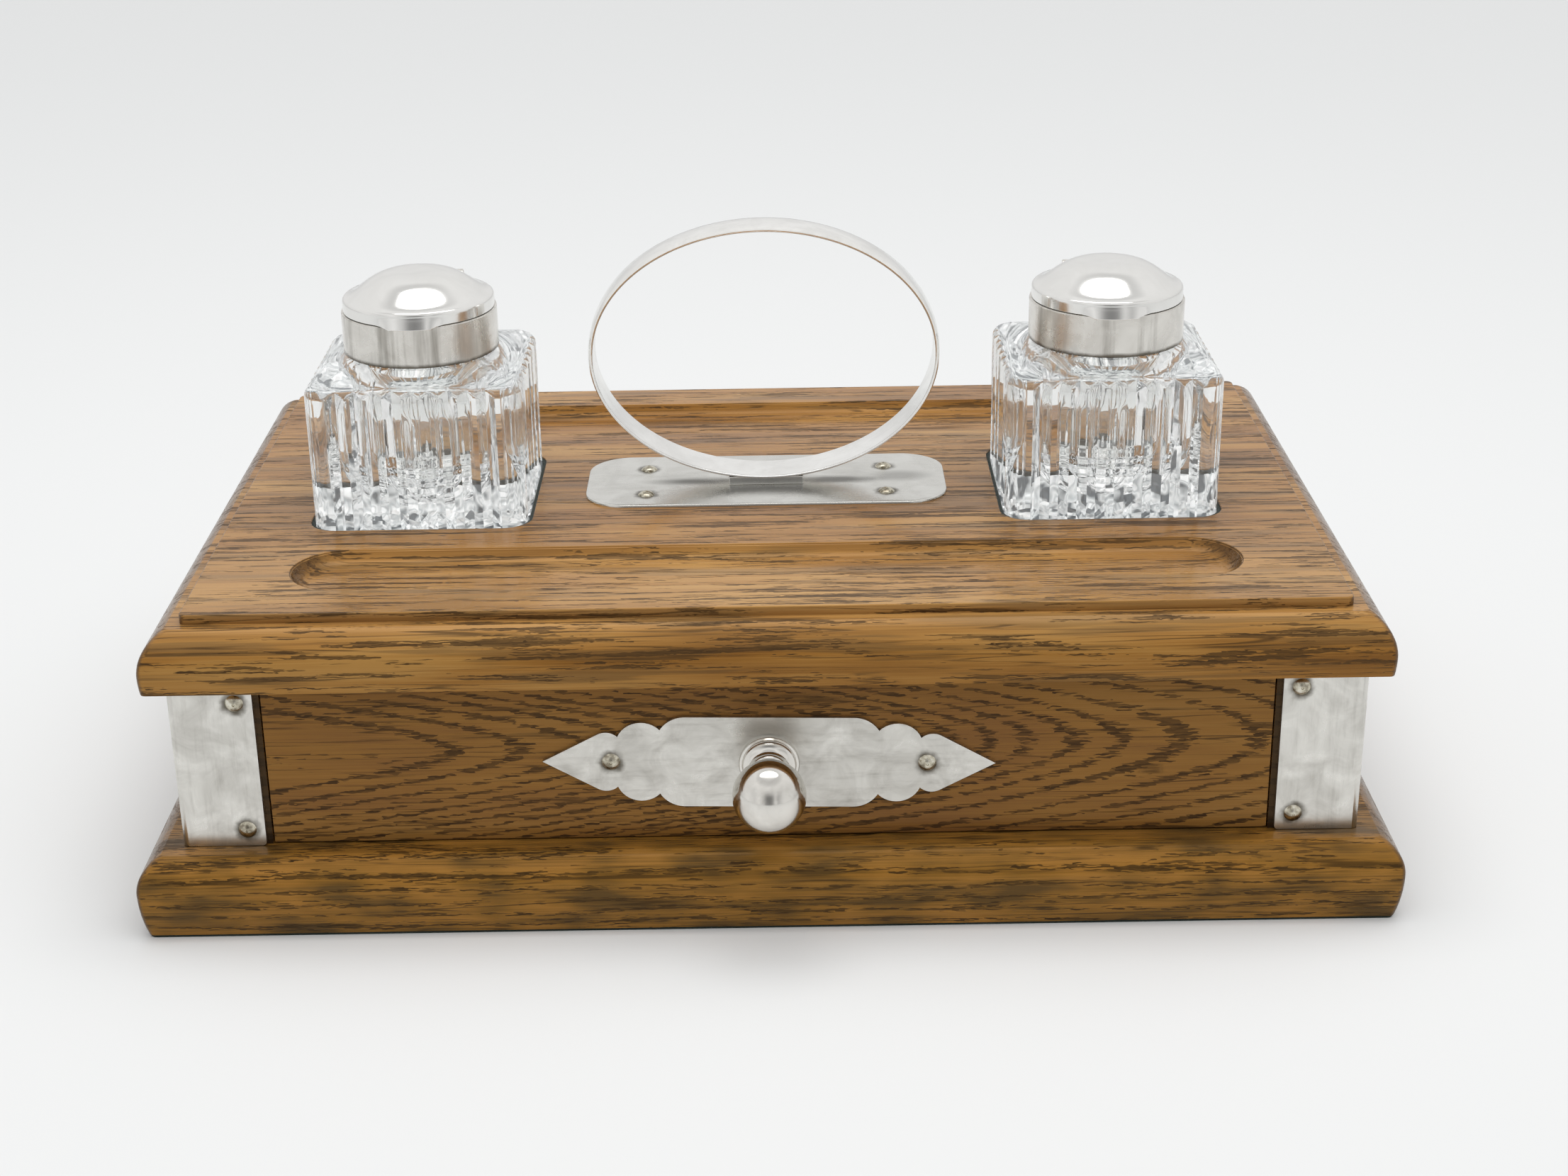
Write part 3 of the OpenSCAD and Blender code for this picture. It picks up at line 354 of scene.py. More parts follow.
base_half_x, base_half_y, base_corner = 150, 95.8, 1.5
base_underside, base_nose, base_top = 0.7, 12.0, 19.8
base_low_radius, base_top_radius = 43.3, 8.3
base_steps = curve_up(base_low_radius, base_nose, base_underside, base_nose, 6)
base_steps += curve_up(base_top_radius, base_nose, base_nose, base_top - 0.05, 14)[1:]
base_steps += [(base_steps[-1][0] + 0.25, base_top)]
base_oak = oak(
    "waxed_oak_base", log_rings(-70, -46, 3.0, 0.05, 0.02), shift=(310, 40, 9),
    tones=("#5c4524", "#8b632a", "#a47434"), dark="#33230f", pore=(3.8, 0.27), wild=(18, 5), busy=0.6,
    streaks=0.3, smoke=0.16, cloud=(20, 7),
)
bm, _ = stepped_board(base_half_x, base_half_y, base_corner, base_steps)
finished("moulded_base", bm, "case", base_oak, "oak", "base_board")


# Baize under the base
# A sheet of dark green baize is glued to the underside, so that the stand does not scratch a desk.
# The two sockets and the drawer are lined with the same cloth.
def baize(name, tone):
    """Wool felt: matt and dark, with a soft nap that catches a little light at the edges.

    The nap is drawn half a millimetre wide, coarser than wool, so that it shows.
    """
    felt = bpy.data.materials.new(name)
    felt.use_nodes = True
    tree = felt.node_tree
    skin = tree.nodes["Principled BSDF"]
    here = add(tree, "ShaderNodeTexCoord").outputs["Object"]
    nap = add(tree, "ShaderNodeTexNoise", {"Vector": here, "Scale": 1000 / 0.5556, "Detail": 3.0})
    shade = add(tree, "ShaderNodeMix", {0: nap.outputs["Fac"], 6: "#0a100d", 7: tone}, data_type="RGBA")
    tree.links.new(shade.outputs[2], skin.inputs["Base Color"])
    skin.inputs["Roughness"].default_value = 0.95
    skin.inputs["Sheen Weight"].default_value = 0.25
    raised = add(tree, "ShaderNodeBump", {"Height": nap.outputs["Fac"], "Strength": 0.6, "Distance": 0.0003})
    tree.links.new(raised.outputs[0], skin.inputs["Normal"])
    return felt


green_baize = baize("green_baize", "#27382e")
for felted in ("base_baize", "socket_lining_left", "socket_lining_right", "drawer_lining"):
    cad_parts[felted].data.materials.clear()
    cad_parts[felted].data.materials.append(green_baize)


# Case
# Two thick end panels and a thinner back panel, dowelled and glued between the boards. The end
# panels stand with their dark edges showing on each side of the drawer.
def dress(node, material, ease=0.25):
    """Gives a flat-sided CAD piece its material and takes the sharpness off its edges."""
    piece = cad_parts[node]
    piece.data.materials.clear()
    piece.data.materials.append(material)
    weld = piece.modifiers.new("joined_faces", "WELD")
    weld.merge_threshold = 1e-6
    eased = piece.modifiers.new("eased_edges", "BEVEL")
    eased.width, eased.segments = ease * 0.001, 2
    eased.limit_method, eased.angle_limit = "ANGLE", math.radians(30)
    eased.harden_normals = True
    return piece


end_oak = oak("waxed_oak_ends", log_rings(30, 150, 2.6), shift=(40, 900, 3), ends=("Y", 0.95, "#1f1a16"))
for node in ("end_panel_left", "end_panel_right"):
    dress(node, end_oak)
dress("back_panel", oak("waxed_oak_back", log_rings(140, 44, 2.8, 0.1, 0.1), shift=(70, 400, 80)))


# Top board
# The board that carries everything on show: a rounded edge, a raised panel with a small upright
# step, a square socket for each well, and two pen grooves cut with a round-nosed bit.
top_half_x, top_half_y, top_corner, panel_inset = 145, 90.8, 1.5, 9.0
top_underside, top_nose, ledge_top, panel_top = 61.6, 66.0, 75.7, 78.0
top_low_radius, top_high_radius = 29.5, 10.8
well_x, well_y = 87.2, -0.8
socket_half, socket_corner, socket_floor = 27.9, 7.0, 67.5
groove_half, groove_radius, groove_y = 114.6, 12.85, 55.05
bit_radius, groove_depth = 5.2, 3.2
arris, arris_turns = 0.35, (math.pi / 6, math.pi / 3, math.pi / 2)

top_steps = curve_up(top_low_radius, top_nose, top_underside, top_nose, 4)
top_steps += curve_up(top_high_radius, top_nose, top_nose, ledge_top - 0.04, 14)[1:]
top_steps += [(top_steps[-1][0] + 0.25, ledge_top)]
top_steps += [(panel_inset, ledge_top), (panel_inset, panel_top - arris)]
for a in arris_turns:
    top_steps.append((panel_inset + arris * (1 - math.cos(a)), panel_top - arris + arris * math.sin(a)))
bm, panel_face = stepped_board(top_half_x, top_half_y, top_corner, top_steps)
rims = list(panel_face.edges)
bm.faces.remove(panel_face)


def socket_rim(x):
    """Edges of a square opening with round corners, in the face of the panel."""
    half = socket_half + arris
    before = set(bm.edges)
    plan = [bm.verts.new((x + sx * half, well_y + sy * half, panel_top)) for sx, sy in corner_signs]
    bm.faces.new(plan)
    bmesh.ops.bevel(bm, geom=plan, offset=socket_corner + arris, segments=8, profile=0.5, affect="VERTICES",
        material=-1)
    rim = [e for e in bm.edges if e not in before]
    bmesh.ops.delete(bm, geom=[f for f in bm.faces if set(f.edges) <= set(rim)], context="FACES_ONLY")
    return rim


def groove_rim(y):
    """Edges of a long opening with round ends, in the face of the panel."""
    turn = Matrix.Translation((0, y, panel_top)) @ Matrix.Rotation(math.pi / 64, 4, "Z")
    ring = bmesh.ops.create_circle(bm, cap_ends=False, radius=groove_radius + arris, segments=64,
        matrix=turn)["verts"]
    for v in ring:
        v.co.x += math.copysign(groove_half - groove_radius, v.co.x)
    return list({e for v in ring for e in v.link_edges})


def cut_down(rim, middle, core, steps):
    """Carries an opening's edge down by steps and closes it with a floor.

    A step is a way in, towards the nearest place of a core about the opening's middle, and a height.
    """
    done = 0.0
    for inward, z in steps:
        grown = bmesh.ops.extrude_edge_only(bm, edges=rim)["geom"]
        fresh = {g for g in grown if isinstance(g, bmesh.types.BMVert)}
        rim = [e for e in bm.edges if e.verts[0] in fresh and e.verts[1] in fresh]
        for v in fresh:
            near = Vector([m + max(-c, min(c, p - m)) for m, c, p in zip(middle, core, v.co)])
            out = v.co.to_2d() - near
            spot = near + out * (1 - (inward - done) / out.length)
            v.co = (spot.x, spot.y, z)
        done = inward
    bmesh.ops.edgeloop_fill(bm, edges=rim)


sockets = {x: socket_rim(x) for x in (-well_x, well_x)}
grooves = {y: groove_rim(y) for y in (-groove_y, groove_y)}
every_rim = rims + [e for group in (*sockets.values(), *grooves.values()) for e in group]
bmesh.ops.triangle_fill(bm, use_beauty=True, use_dissolve=False, edges=every_rim, normal=(0, 0, 1))
eased = [(arris * math.sin(a), panel_top - arris * (1 - math.cos(a))) for a in arris_turns]
socket_core = socket_half - socket_corner
for x, rim in sockets.items():
    cut_down(rim, (x, well_y), (socket_core, socket_core), eased + [(arris, socket_floor)])

# The bit stands above the panel by its radius less the groove's depth, and rounds the wall below
bit_lift = bit_radius - groove_depth
bit_reach = math.sqrt(bit_radius**2 - bit_lift**2)
start = math.asin(bit_lift / bit_radius)
groove_wall = []
for i in range(1, 13):
    a = start + (math.pi / 2 - start) * i / 12
    z = min(panel_top + bit_lift - bit_radius * math.sin(a), panel_top - arris)
    groove_wall.append((arris + bit_reach - bit_radius * math.cos(a), z))
for y, rim in grooves.items():
    cut_down(rim, (0, y), (groove_half - groove_radius, 0), eased + groove_wall)
# The upper side of this board is painted paler along its front, a painted sheen
top_oak = oak(
    "waxed_oak_top", log_rings(26, -18, 3.4, 0.1, 0.03), shift=(120, 10, 70),
    tones=("#7f5526", "#9c6e35", "#ad8247"), pore=(6.0, 0.24), wild=(34, 2.4), busy=0.25, streaks=1.0,
    smoke=0.5, wear_and_sheen=0.2,
)
finished("moulded_top", bm, "case", top_oak, "oak", "top_board")


# Corner mounts
# Sheet silver bent round the four upright corners of the case and held by domed pins. Years of
# polish have left fine scratches, soft marks, and black tarnish round each pin.
def silver(
    name, tone="#dbd9d3", rough=0.26, stroke=(1.2, 1.2, 12), pins=(), haze=0.1, streaks=0.12,
    cloudy=0.3, shade_patches=(), grime=None,
):
    """Worn sterling silver: white, softly mirrored, and greyer where polish has missed.

    stroke is the size in mm of the polishing marks, drawn coarser than real scratches so that they show.
    streaks and cloudy are how grey these and the dull patches are, and haze is how much the roughness
    varies. Tarnish is left round each of the pins and just above the height grime, and painted shade is
    laid in each shade patch given (middle, spread and depth).
    """
    metal = bpy.data.materials.new(name)
    metal.use_nodes = True
    tree = metal.node_tree
    skin = tree.nodes["Principled BSDF"]
    skin.inputs["Metallic"].default_value = 1.0
    here = add(tree, "ShaderNodeVectorMath", {0: add(tree, "ShaderNodeTexCoord").outputs["Object"],
        1: (1000, 1000, 1000)}, operation="MULTIPLY")
    drawn = add(tree, "ShaderNodeVectorMath", {0: here, 1: tuple(1 / s for s in stroke)},
        operation="MULTIPLY")
    marks = add(tree, "ShaderNodeTexNoise", {"Vector": drawn, "Scale": 1.0, "Detail": 4.0, "Roughness": 0.65})
    cloud = add(tree, "ShaderNodeTexNoise", {"Vector": here, "Scale": 1 / 9.09, "Detail": 5.0,
        "Roughness": 0.6, "Distortion": 0.8})
    wear_and_sheen = add(tree, "ShaderNodeMapRange", {0: cloud.outputs["Fac"], 1: 0.3, 2: 0.7, 3: rough - haze / 2,
        4: rough + haze / 2})
    wear_and_sheen = add(tree, "ShaderNodeMath", {0: marks.outputs["Fac"], 1: haze, 2: wear_and_sheen}, operation="MULTIPLY_ADD")
    tree.links.new(wear_and_sheen.outputs[0], skin.inputs["Roughness"])
    dim = add(tree, "ShaderNodeMapRange", {0: cloud.outputs["Fac"], 1: 0.35, 2: 0.75, 3: 0.0, 4: cloudy})
    rubbing_and_sheen = add(tree, "ShaderNodeMapRange", {0: marks.outputs["Fac"], 1: 0.5, 2: 0.75, 3: 0.0, 4: streaks})
    dim = add(tree, "ShaderNodeMath", {0: dim, 1: rubbing_and_sheen}, operation="ADD")
    colour = add(tree, "ShaderNodeMix", {0: dim, 6: tone, 7: "#96928a"}, data_type="RGBA").outputs[2]

    # Tarnish round each pin, with a ragged edge
    stain = None
    ragged = add(tree, "ShaderNodeTexNoise", {"Vector": here, "Scale": 1 / 2.5, "Detail": 2.0})
    for pin in pins:
        away = add(tree, "ShaderNodeVectorMath", {0: here, 1: pin}, operation="DISTANCE").outputs["Value"]
        away = add(tree, "ShaderNodeMath", {0: ragged.outputs["Fac"], 1: 2.2, 2: away},
            operation="MULTIPLY_ADD")
        near = add(tree, "ShaderNodeMapRange", {0: away, 1: 2.9, 2: 4.9, 3: 0.95, 4: 0.0},
            interpolation_type="SMOOTHSTEP")
        stain = near if stain is None else add(tree, "ShaderNodeMath", {0: stain, 1: near},
            operation="MAXIMUM")

    # Patches of painted shade, where nearby parts shade the metal, and grime along a lower edge
    for middle, spread, depth in shade_patches:
        away = add(tree, "ShaderNodeVectorMath", {0: here, 1: middle}, operation="SUBTRACT")
        away = add(tree, "ShaderNodeVectorMath", {0: away, 1: tuple(1 / s for s in spread)},
            operation="MULTIPLY")
        away = add(tree, "ShaderNodeVectorMath", {0: away}, operation="LENGTH").outputs["Value"]
        away = add(tree, "ShaderNodeMath", {0: cloud.outputs["Fac"], 1: 0.8, 2: away},
            operation="MULTIPLY_ADD")
        near = add(tree, "ShaderNodeMapRange", {0: away, 1: 0.6, 2: 1.5, 3: depth, 4: 0.0},
            interpolation_type="SMOOTHSTEP")
        colour = add(tree, "ShaderNodeMix", {0: near, 6: colour, 7: "#55524b"}, data_type="RGBA").outputs[2]
    if grime is not None:
        height = add(tree, "ShaderNodeSeparateXYZ", {0: here}).outputs["Z"]
        height = add(tree, "ShaderNodeMath", {0: cloud.outputs["Fac"], 1: 1.6, 2: height},
            operation="MULTIPLY_ADD")
        near = add(tree, "ShaderNodeMapRange", {0: height, 1: grime + 1.0, 2: grime + 2.1, 3: 0.9, 4: 0.0},
            interpolation_type="SMOOTHSTEP")
        colour = add(tree, "ShaderNodeMix", {0: near, 6: colour, 7: "#544c3f"}, data_type="RGBA").outputs[2]
    if stain is not None:
        colour = add(tree, "ShaderNodeMix", {0: stain, 6: colour, 7: "#5c564b"}, data_type="RGBA").outputs[2]
    tree.links.new(colour, skin.inputs["Base Color"])
    scored = add(tree, "ShaderNodeBump", {"Height": marks.outputs["Fac"], "Strength": 0.06,
        "Distance": 0.0001})
    tree.links.new(scored.outputs[0], skin.inputs["Normal"])
    return metal


mount_x, mount_y, mount_leg, pin_edge = 140.0, 85.8, 20.0, 4.2
pin_levels = (24.2, 57.2)
mount_pins = []
for sx in (-1, 1):
    for sy in (-1, 1):
        for z in pin_levels:
            mount_pins.append(((sx * (mount_x - mount_leg + pin_edge), sy * mount_y, z), (0, sy, 0)))
            mount_pins.append(((sx * mount_x, sy * (mount_y - mount_leg + pin_edge), z), (sx, 0, 0)))
for side, sx in (("left", -1), ("right", 1)):
    for end, sy in (("front", -1), ("back", 1)):
        held = [place for place, _ in mount_pins if place[0] * sx > 0 and place[1] * sy > 0]
        dress(f"corner_mount_{end}_{side}", silver(f"mount_silver_{end}_{side}", tone="#e2e0da", pins=held,
            cloudy=0.5, streaks=0.2), ease=0.2)


# Pins
# Round-headed pins of pale brass that hold the silver sheet to the oak, their heads rubbed
# bright and each with the small mark of the punch that set it.

# Pale brass, duller and brighter in random spots about 1.4 mm wide
pin_brass = bpy.data.materials.new("pale_brass")
pin_brass.use_nodes = True
tree = pin_brass.node_tree
pale = tree.nodes["Principled BSDF"]
pale.inputs["Metallic"].default_value = 1.0
pale.inputs["Roughness"].default_value = 0.24
here = add(tree, "ShaderNodeTexCoord").outputs["Object"]
rubbing_and_sheen = add(tree, "ShaderNodeTexNoise", {"Vector": here, "Scale": 1000 / 1.4286, "Detail": 3.0})
rubbing_and_sheen = add(tree, "ShaderNodeValToRGB", {0: rubbing_and_sheen.outputs["Fac"]},
    stops=[(0.35, "#8a8272"), (0.55, "#c4beac"), (0.7, "#dedacd")])
tree.links.new(rubbing_and_sheen.outputs["Color"], pale.inputs["Base Color"])

pin_head, pin_rise, punch_mark = 2.15, 1.0, 0.35


def domed_pins(name, places, body, slot, stands_for):
    """Pin heads at each place, their crowns along each axis, turned from one half profile."""
    bm = bmesh.new()
    ball = (pin_head**2 + pin_rise**2) / (2 * pin_rise)
    half_angle = math.asin(pin_head / ball)
    outline = [(0, -0.3), (pin_head * 0.96, -0.3), (pin_head, 0.0)]
    for i in range(1, 8):
        a = half_angle * (1 - i / 8)
        outline.append((ball * math.sin(a), pin_rise - ball + ball * math.cos(a)))
    outline += [(punch_mark * 0.8, pin_rise - 0.08), (punch_mark * 0.5, pin_rise - 0.22),
        (0, pin_rise - 0.26)]
    for place, axis in places:
        turn = Matrix.Translation(place) @ Vector(axis).to_track_quat("Z", "Y").to_matrix().to_4x4()
        chain = [bm.verts.new((r, 0, z)) for r, z in outline]
        edges = [bm.edges.new(pair) for pair in zip(chain, chain[1:])]
        before = set(bm.verts) - set(chain)
        bmesh.ops.spin(bm, geom=chain + edges, cent=(0, 0, 0), axis=(0, 0, 1), angle=math.tau, steps=28,
            use_merge=True)
        bmesh.ops.transform(bm, matrix=turn, verts=[v for v in bm.verts if v not in before])
    return finished(name, bm, body, pin_brass, slot, stands_for)


domed_pins("mount_pin_heads", mount_pins, "case", "brass", "corner_mount_pins")


# Ring foot
# A plate of sheet silver with a bevelled edge lies on the panel between the wells, held by four
# domed pins. Painted shade darkens the plate round the foot of the ring and under its side.
foot_y, foot_top = 2.4, 78.8
foot_half_x, foot_half_y, foot_corner = 46.8, 18.5, 10.5
foot_pin_x, foot_pin_y, foot_pin_middle = 31.0, 9.5, foot_y - 1.3
foot_pins = [((sx * foot_pin_x, foot_pin_middle + sy * foot_pin_y, foot_top), (0, 0, 1))
    for sx in (-1, 1) for sy in (-1, 1)]
# Painted shade of the ring on its plate: beside its foot on both sides and under its right side, and a darker
# patch in front of its foot
foot_shade_patches = [((sx * 19.0, 0.8, foot_top), (14.0, 3.4, 3.0), 0.85) for sx in (-1, 1)]
foot_shade_patches += [((2.0, -6.5, foot_top), (24.0, 5.0, 3.0), 0.5)]
foot_shade_patches += [((35.0, 3.0, foot_top), (10.0, 5.0, 3.0), 0.45)]
foot_silver = silver("foot_silver", tone="#dbdad5", rough=0.2, stroke=(9, 1.1, 1.1), haze=0.12,
    pins=[place for place, _ in foot_pins], shade_patches=foot_shade_patches)
foot_steps = [(0, panel_top), (0, panel_top + 0.3), (0.12, foot_top - 0.25), (0.55, foot_top)]
bm, _ = stepped_board(foot_half_x, foot_half_y, foot_corner, foot_steps, corner_steps=14)
bmesh.ops.translate(bm, vec=(0, foot_y, 0), verts=bm.verts)
finished("ring_foot", bm, "case", foot_silver, "silver", "ring_foot_plate")
domed_pins("foot_pin_heads", foot_pins, "case", "brass", "ring_foot_pins")


# Carrying ring
# An oval band of silver, flat inside and slightly crowned outside, soldered upright to its foot
# over a small pad. It is polished brighter than the plates.
ring_half_x, ring_half_z, ring_t = 45.1, 33.65, 1.3
ring_band, ring_y, ring_crown, ring_edge = 12.0, 3.4, 0.35, 0.3
pad_half, pad_rise, pad_t, pad_margin = 9.7, 1.2, 2.2, 0.2
ring_centre_z = foot_top + pad_rise + ring_half_z
bm = bmesh.new()
half = ring_band / 2
section = [(-ring_t, -half + ring_edge), (-ring_t + ring_edge, -half), (-ring_crown - ring_edge, -half)]
section += [(-ring_crown * (y / half) ** 2, y) for y in (half * k / 6 for k in range(-5, 6))]
section += [(-ring_crown - ring_edge, half), (-ring_t + ring_edge, half), (-ring_t, half - ring_edge)]
around = [bm.verts.new((ring_half_z + depth, y, 0)) for depth, y in section]
hoop = [bm.edges.new((a, b)) for a, b in zip(around, around[1:] + around[:1])]
bmesh.ops.spin(bm, geom=around + hoop, cent=(0, 0, 0), axis=(0, 1, 0), angle=math.tau, steps=180,
    use_merge=True)
for v in bm.verts:
    a = math.atan2(v.co.z, v.co.x)
    depth = math.hypot(v.co.x, v.co.z) - ring_half_z
    out = Vector((ring_half_z * math.cos(a), 0, ring_half_x * math.sin(a))).normalized()
    spot = Vector((ring_half_x * math.cos(a), 0, ring_half_z * math.sin(a))) + out * depth
    v.co = Vector((spot.x, ring_y + v.co.y, ring_centre_z + spot.z))
pad_place = Matrix.Translation((0, ring_y, foot_top + pad_t / 2))
pad_size = Matrix.Diagonal((2 * pad_half, ring_band - 2 * pad_margin, pad_t, 1))
pad = bmesh.ops.create_cube(bm, size=1, matrix=pad_place @ pad_size)
bmesh.ops.bevel(bm, geom=list({e for v in pad["verts"] for e in v.link_edges}), offset=0.25, segments=2,
    profile=0.5, affect="EDGES", material=-1)
ring_silver = silver("ring_silver", tone="#f6f5f2", rough=0.13, stroke=(6, 6, 6), haze=0.08, cloudy=0.2)
finished("carrying_ring", bm, "case", ring_silver, "silver", "handle_ring", crease=50)


# Drawer
# The front is one piece of flat-sawn oak, its growth rings nested in points; the sides, back and
# thin bottom behind it are plainer. Only the front is stained and waxed.
arch_z, arch_slope = 44.0, 5.3
ring_tips = (
    -140, -76, -59, -44, -31, -19, -8, 3, 14, 25, 36, 44, 52, 61, 71, 82, 95, 114, 130, 146, 162, 178,
    194, 210)


def nested_arches(tree, place):
    """Rings of flat-sawn oak: arches whose tips all point along X, sharper at the left than at the right."""
    along = add(tree, "ShaderNodeSeparateXYZ", {0: place})
    blunt = add(tree, "ShaderNodeMapRange", {0: along.outputs["X"], 1: -118, 2: 110, 3: 3.0, 4: 12.5})
    off = add(tree, "ShaderNodeMath", {0: along.outputs["Z"], 1: arch_z}, operation="SUBTRACT")
    off = add(tree, "ShaderNodeMath", {0: off, 1: off}, operation="MULTIPLY")
    arm = add(tree, "ShaderNodeMath", {0: blunt, 1: blunt, 2: off}, operation="MULTIPLY_ADD")
    arm = add(tree, "ShaderNodeMath", {0: arm}, operation="SQRT")
    arm = add(tree, "ShaderNodeMath", {0: arm, 1: blunt}, operation="SUBTRACT")
    tip = add(tree, "ShaderNodeMath", {0: arm, 1: arch_slope, 2: along.outputs["X"]},
        operation="MULTIPLY_ADD")
    low, high = ring_tips[0], ring_tips[-1]
    tip = add(tree, "ShaderNodeMapRange", {0: tip, 1: low, 2: high})
    steps = [((x - low) / (high - low), i / (len(ring_tips) - 1)) for i, x in enumerate(ring_tips)]
    tally = add(tree, "ShaderNodeValToRGB", {0: tip}, stops=steps)
    return add(tree, "ShaderNodeMath", {0: tally, 1: len(ring_tips) - 1}, operation="MULTIPLY").outputs[0]


front_oak = oak(
    "waxed_oak_front", nested_arches, shift=(0, 200, 30), tones=("#7e572f", "#8d6431", "#966e3a"),
    dark="#302013", pore=(3.0, 0.33), wild=(6, 1.3),
)
dress("drawer_front", front_oak, ease=0.3)
inner_oak = oak("bare_oak", log_rings(10, -60, 2.8, 0.03, 0.03), shift=(500, 60, 20), full=0.6,
    tones=("#8a6a44", "#ab8656", "#c3a071"))
for node in ("drawer_side_left", "drawer_side_right", "drawer_back", "drawer_bottom", "top_dowels"):
    dress(node, inner_oak)


# Drawer plate
# Sheet silver sawn to a long shape with lobes and points. It is pinned to the drawer front at both
# ends, and lies about a degree out of level.
front_face, plate_t, knob_z, plate_turn = -84.8, 1.0, 39.8, math.radians(1.2)
plate_pin = 37.2
pin_x, pin_drop = plate_pin * math.cos(plate_turn), plate_pin * math.sin(plate_turn)
plate_pins = [((s * pin_x, front_face - plate_t, knob_z - s * pin_drop), (0, -1, 0)) for s in (-1, 1)]
# A patch of painted shadow darkens the plate just above the knob
plate_silver = silver("plate_silver", rough=0.25, stroke=(10, 1, 1.3), haze=0.14, streaks=0.25, cloudy=0.55,
    pins=[place for place, _ in plate_pins], shade_patches=[((0, front_face, knob_z + 9), (13.0, 4.0, 4.0), 0.2)])
dress("drawer_plate", plate_silver, ease=0.22)
domed_pins("plate_pin_heads", plate_pins, "drawer", "brass", "drawer_plate_pins")


# Knob
# A ball knob cast and turned in silver: a stepped foot, a narrow neck with a bead, and the ball,
# polished like a mirror. A steel screw from inside the drawer holds it.
ball_r, ball_reach, knob_neck_r = 8.55, 17.2, 3.9
knob_outline = [
    (0, 0), (7.15, 0), (7.15, 0.9), (6.95, 1.15), (6.45, 1.25), (6.3, 1.5), (6.35, 1.9), (6.1, 2.25),
    (5.3, 2.4), (4.7, 2.9), (4.2, 3.6), (3.95, 4.4), (4.5, 4.8), (4.85, 5.3), (4.95, 5.8), (4.85, 6.3),
    (4.5, 6.8), (3.95, 7.2), (3.8, 8.2)]
neck_end = math.pi - math.asin(knob_neck_r / ball_r)
ball_steps = [neck_end * (1 - i / 28) for i in range(29)]
knob_outline += [(ball_r * math.sin(a), ball_reach + ball_r * math.cos(a)) for a in ball_steps]
bm = bmesh.new()
chain = [bm.verts.new((r, front_face - plate_t - out, 0)) for r, out in knob_outline]
edges = [bm.edges.new(pair) for pair in zip(chain, chain[1:])]
bmesh.ops.spin(bm, geom=chain + edges, cent=(0, 0, 0), axis=(0, 1, 0), angle=math.tau, steps=72,
    use_merge=True)
bmesh.ops.translate(bm, vec=(0, 0, knob_z), verts=bm.verts)
knob_silver = silver("knob_silver", tone="#e6e3dd", rough=0.1, stroke=(3, 3, 3), haze=0.04)
finished("ball_knob", bm, "drawer", knob_silver, "silver", "drawer_knob", crease=40)

# Screw steel: bright, with tool marks drawn a millimetre wide so that they show
steel = bpy.data.materials.new("bright_steel")
steel.use_nodes = True
tree = steel.node_tree
bright = tree.nodes["Principled BSDF"]
bright.inputs["Base Color"].default_value = linear("#9a9a98")
bright.inputs["Metallic"].default_value = 1.0
here = add(tree, "ShaderNodeTexCoord").outputs["Object"]
tooled = add(tree, "ShaderNodeTexNoise", {"Vector": here, "Scale": 1000 / 1.1111})
tooled = add(tree, "ShaderNodeMapRange", {0: tooled.outputs["Fac"], 3: 0.25, 4: 0.5})
tree.links.new(tooled.outputs[0], bright.inputs["Roughness"])
for node in ("knob_screw", "base_screws"):
    dress(node, steel, ease=0.1)


# Glass wells
# Square blocks of clear lead glass, their sides cut with upright mitre flutes that run out on the
# rounded top edge. Inside is a round pot with a thick floor, and a neck rises into the collar.
glass_z, glass_half, glass_corner = 68.2, 26.9, 6.0
edge_z, edge_round, foot_chamfer, ground_to = 114.0, 2.6, 1.2, 77.0
flutes, flute_depth, flute_steps = 9, 1.2, 8
shoulder_z, neck_top, neck_r, bore_r = 117.3, 126.3, 18.1, 14.5
pot_r, pot_floor, pot_top, floor_round, ripple, lobes = 17.5, 78.2, 107.0, 16.8, 0.22, 22
star_rise, star_margin, side_from, side_to = 2.6, 1.9, 24.0, 25.4

# Lead glass: quite clear, with a strong gleam and a faint unevenness about a centimetre wide
glass = bpy.data.materials.new("cut_lead_glass")
glass.use_nodes = True
tree = glass.node_tree
clear = tree.nodes["Principled BSDF"]
clear.inputs["Base Color"].default_value = linear("#fbfcfb")
clear.inputs["Transmission Weight"].default_value = 0.94
clear.inputs["IOR"].default_value = 1.54
clear.inputs["Roughness"].default_value = 0.0
here = add(tree, "ShaderNodeTexCoord").outputs["Object"]
swirl = add(tree, "ShaderNodeTexNoise", {"Vector": here, "Scale": 1000 / 11.111, "Detail": 1.0})
uneven = add(tree, "ShaderNodeBump", {"Height": swirl.outputs["Fac"], "Strength": 0.08, "Distance": 0.0006})
tree.links.new(uneven.outputs[0], clear.inputs["Normal"])

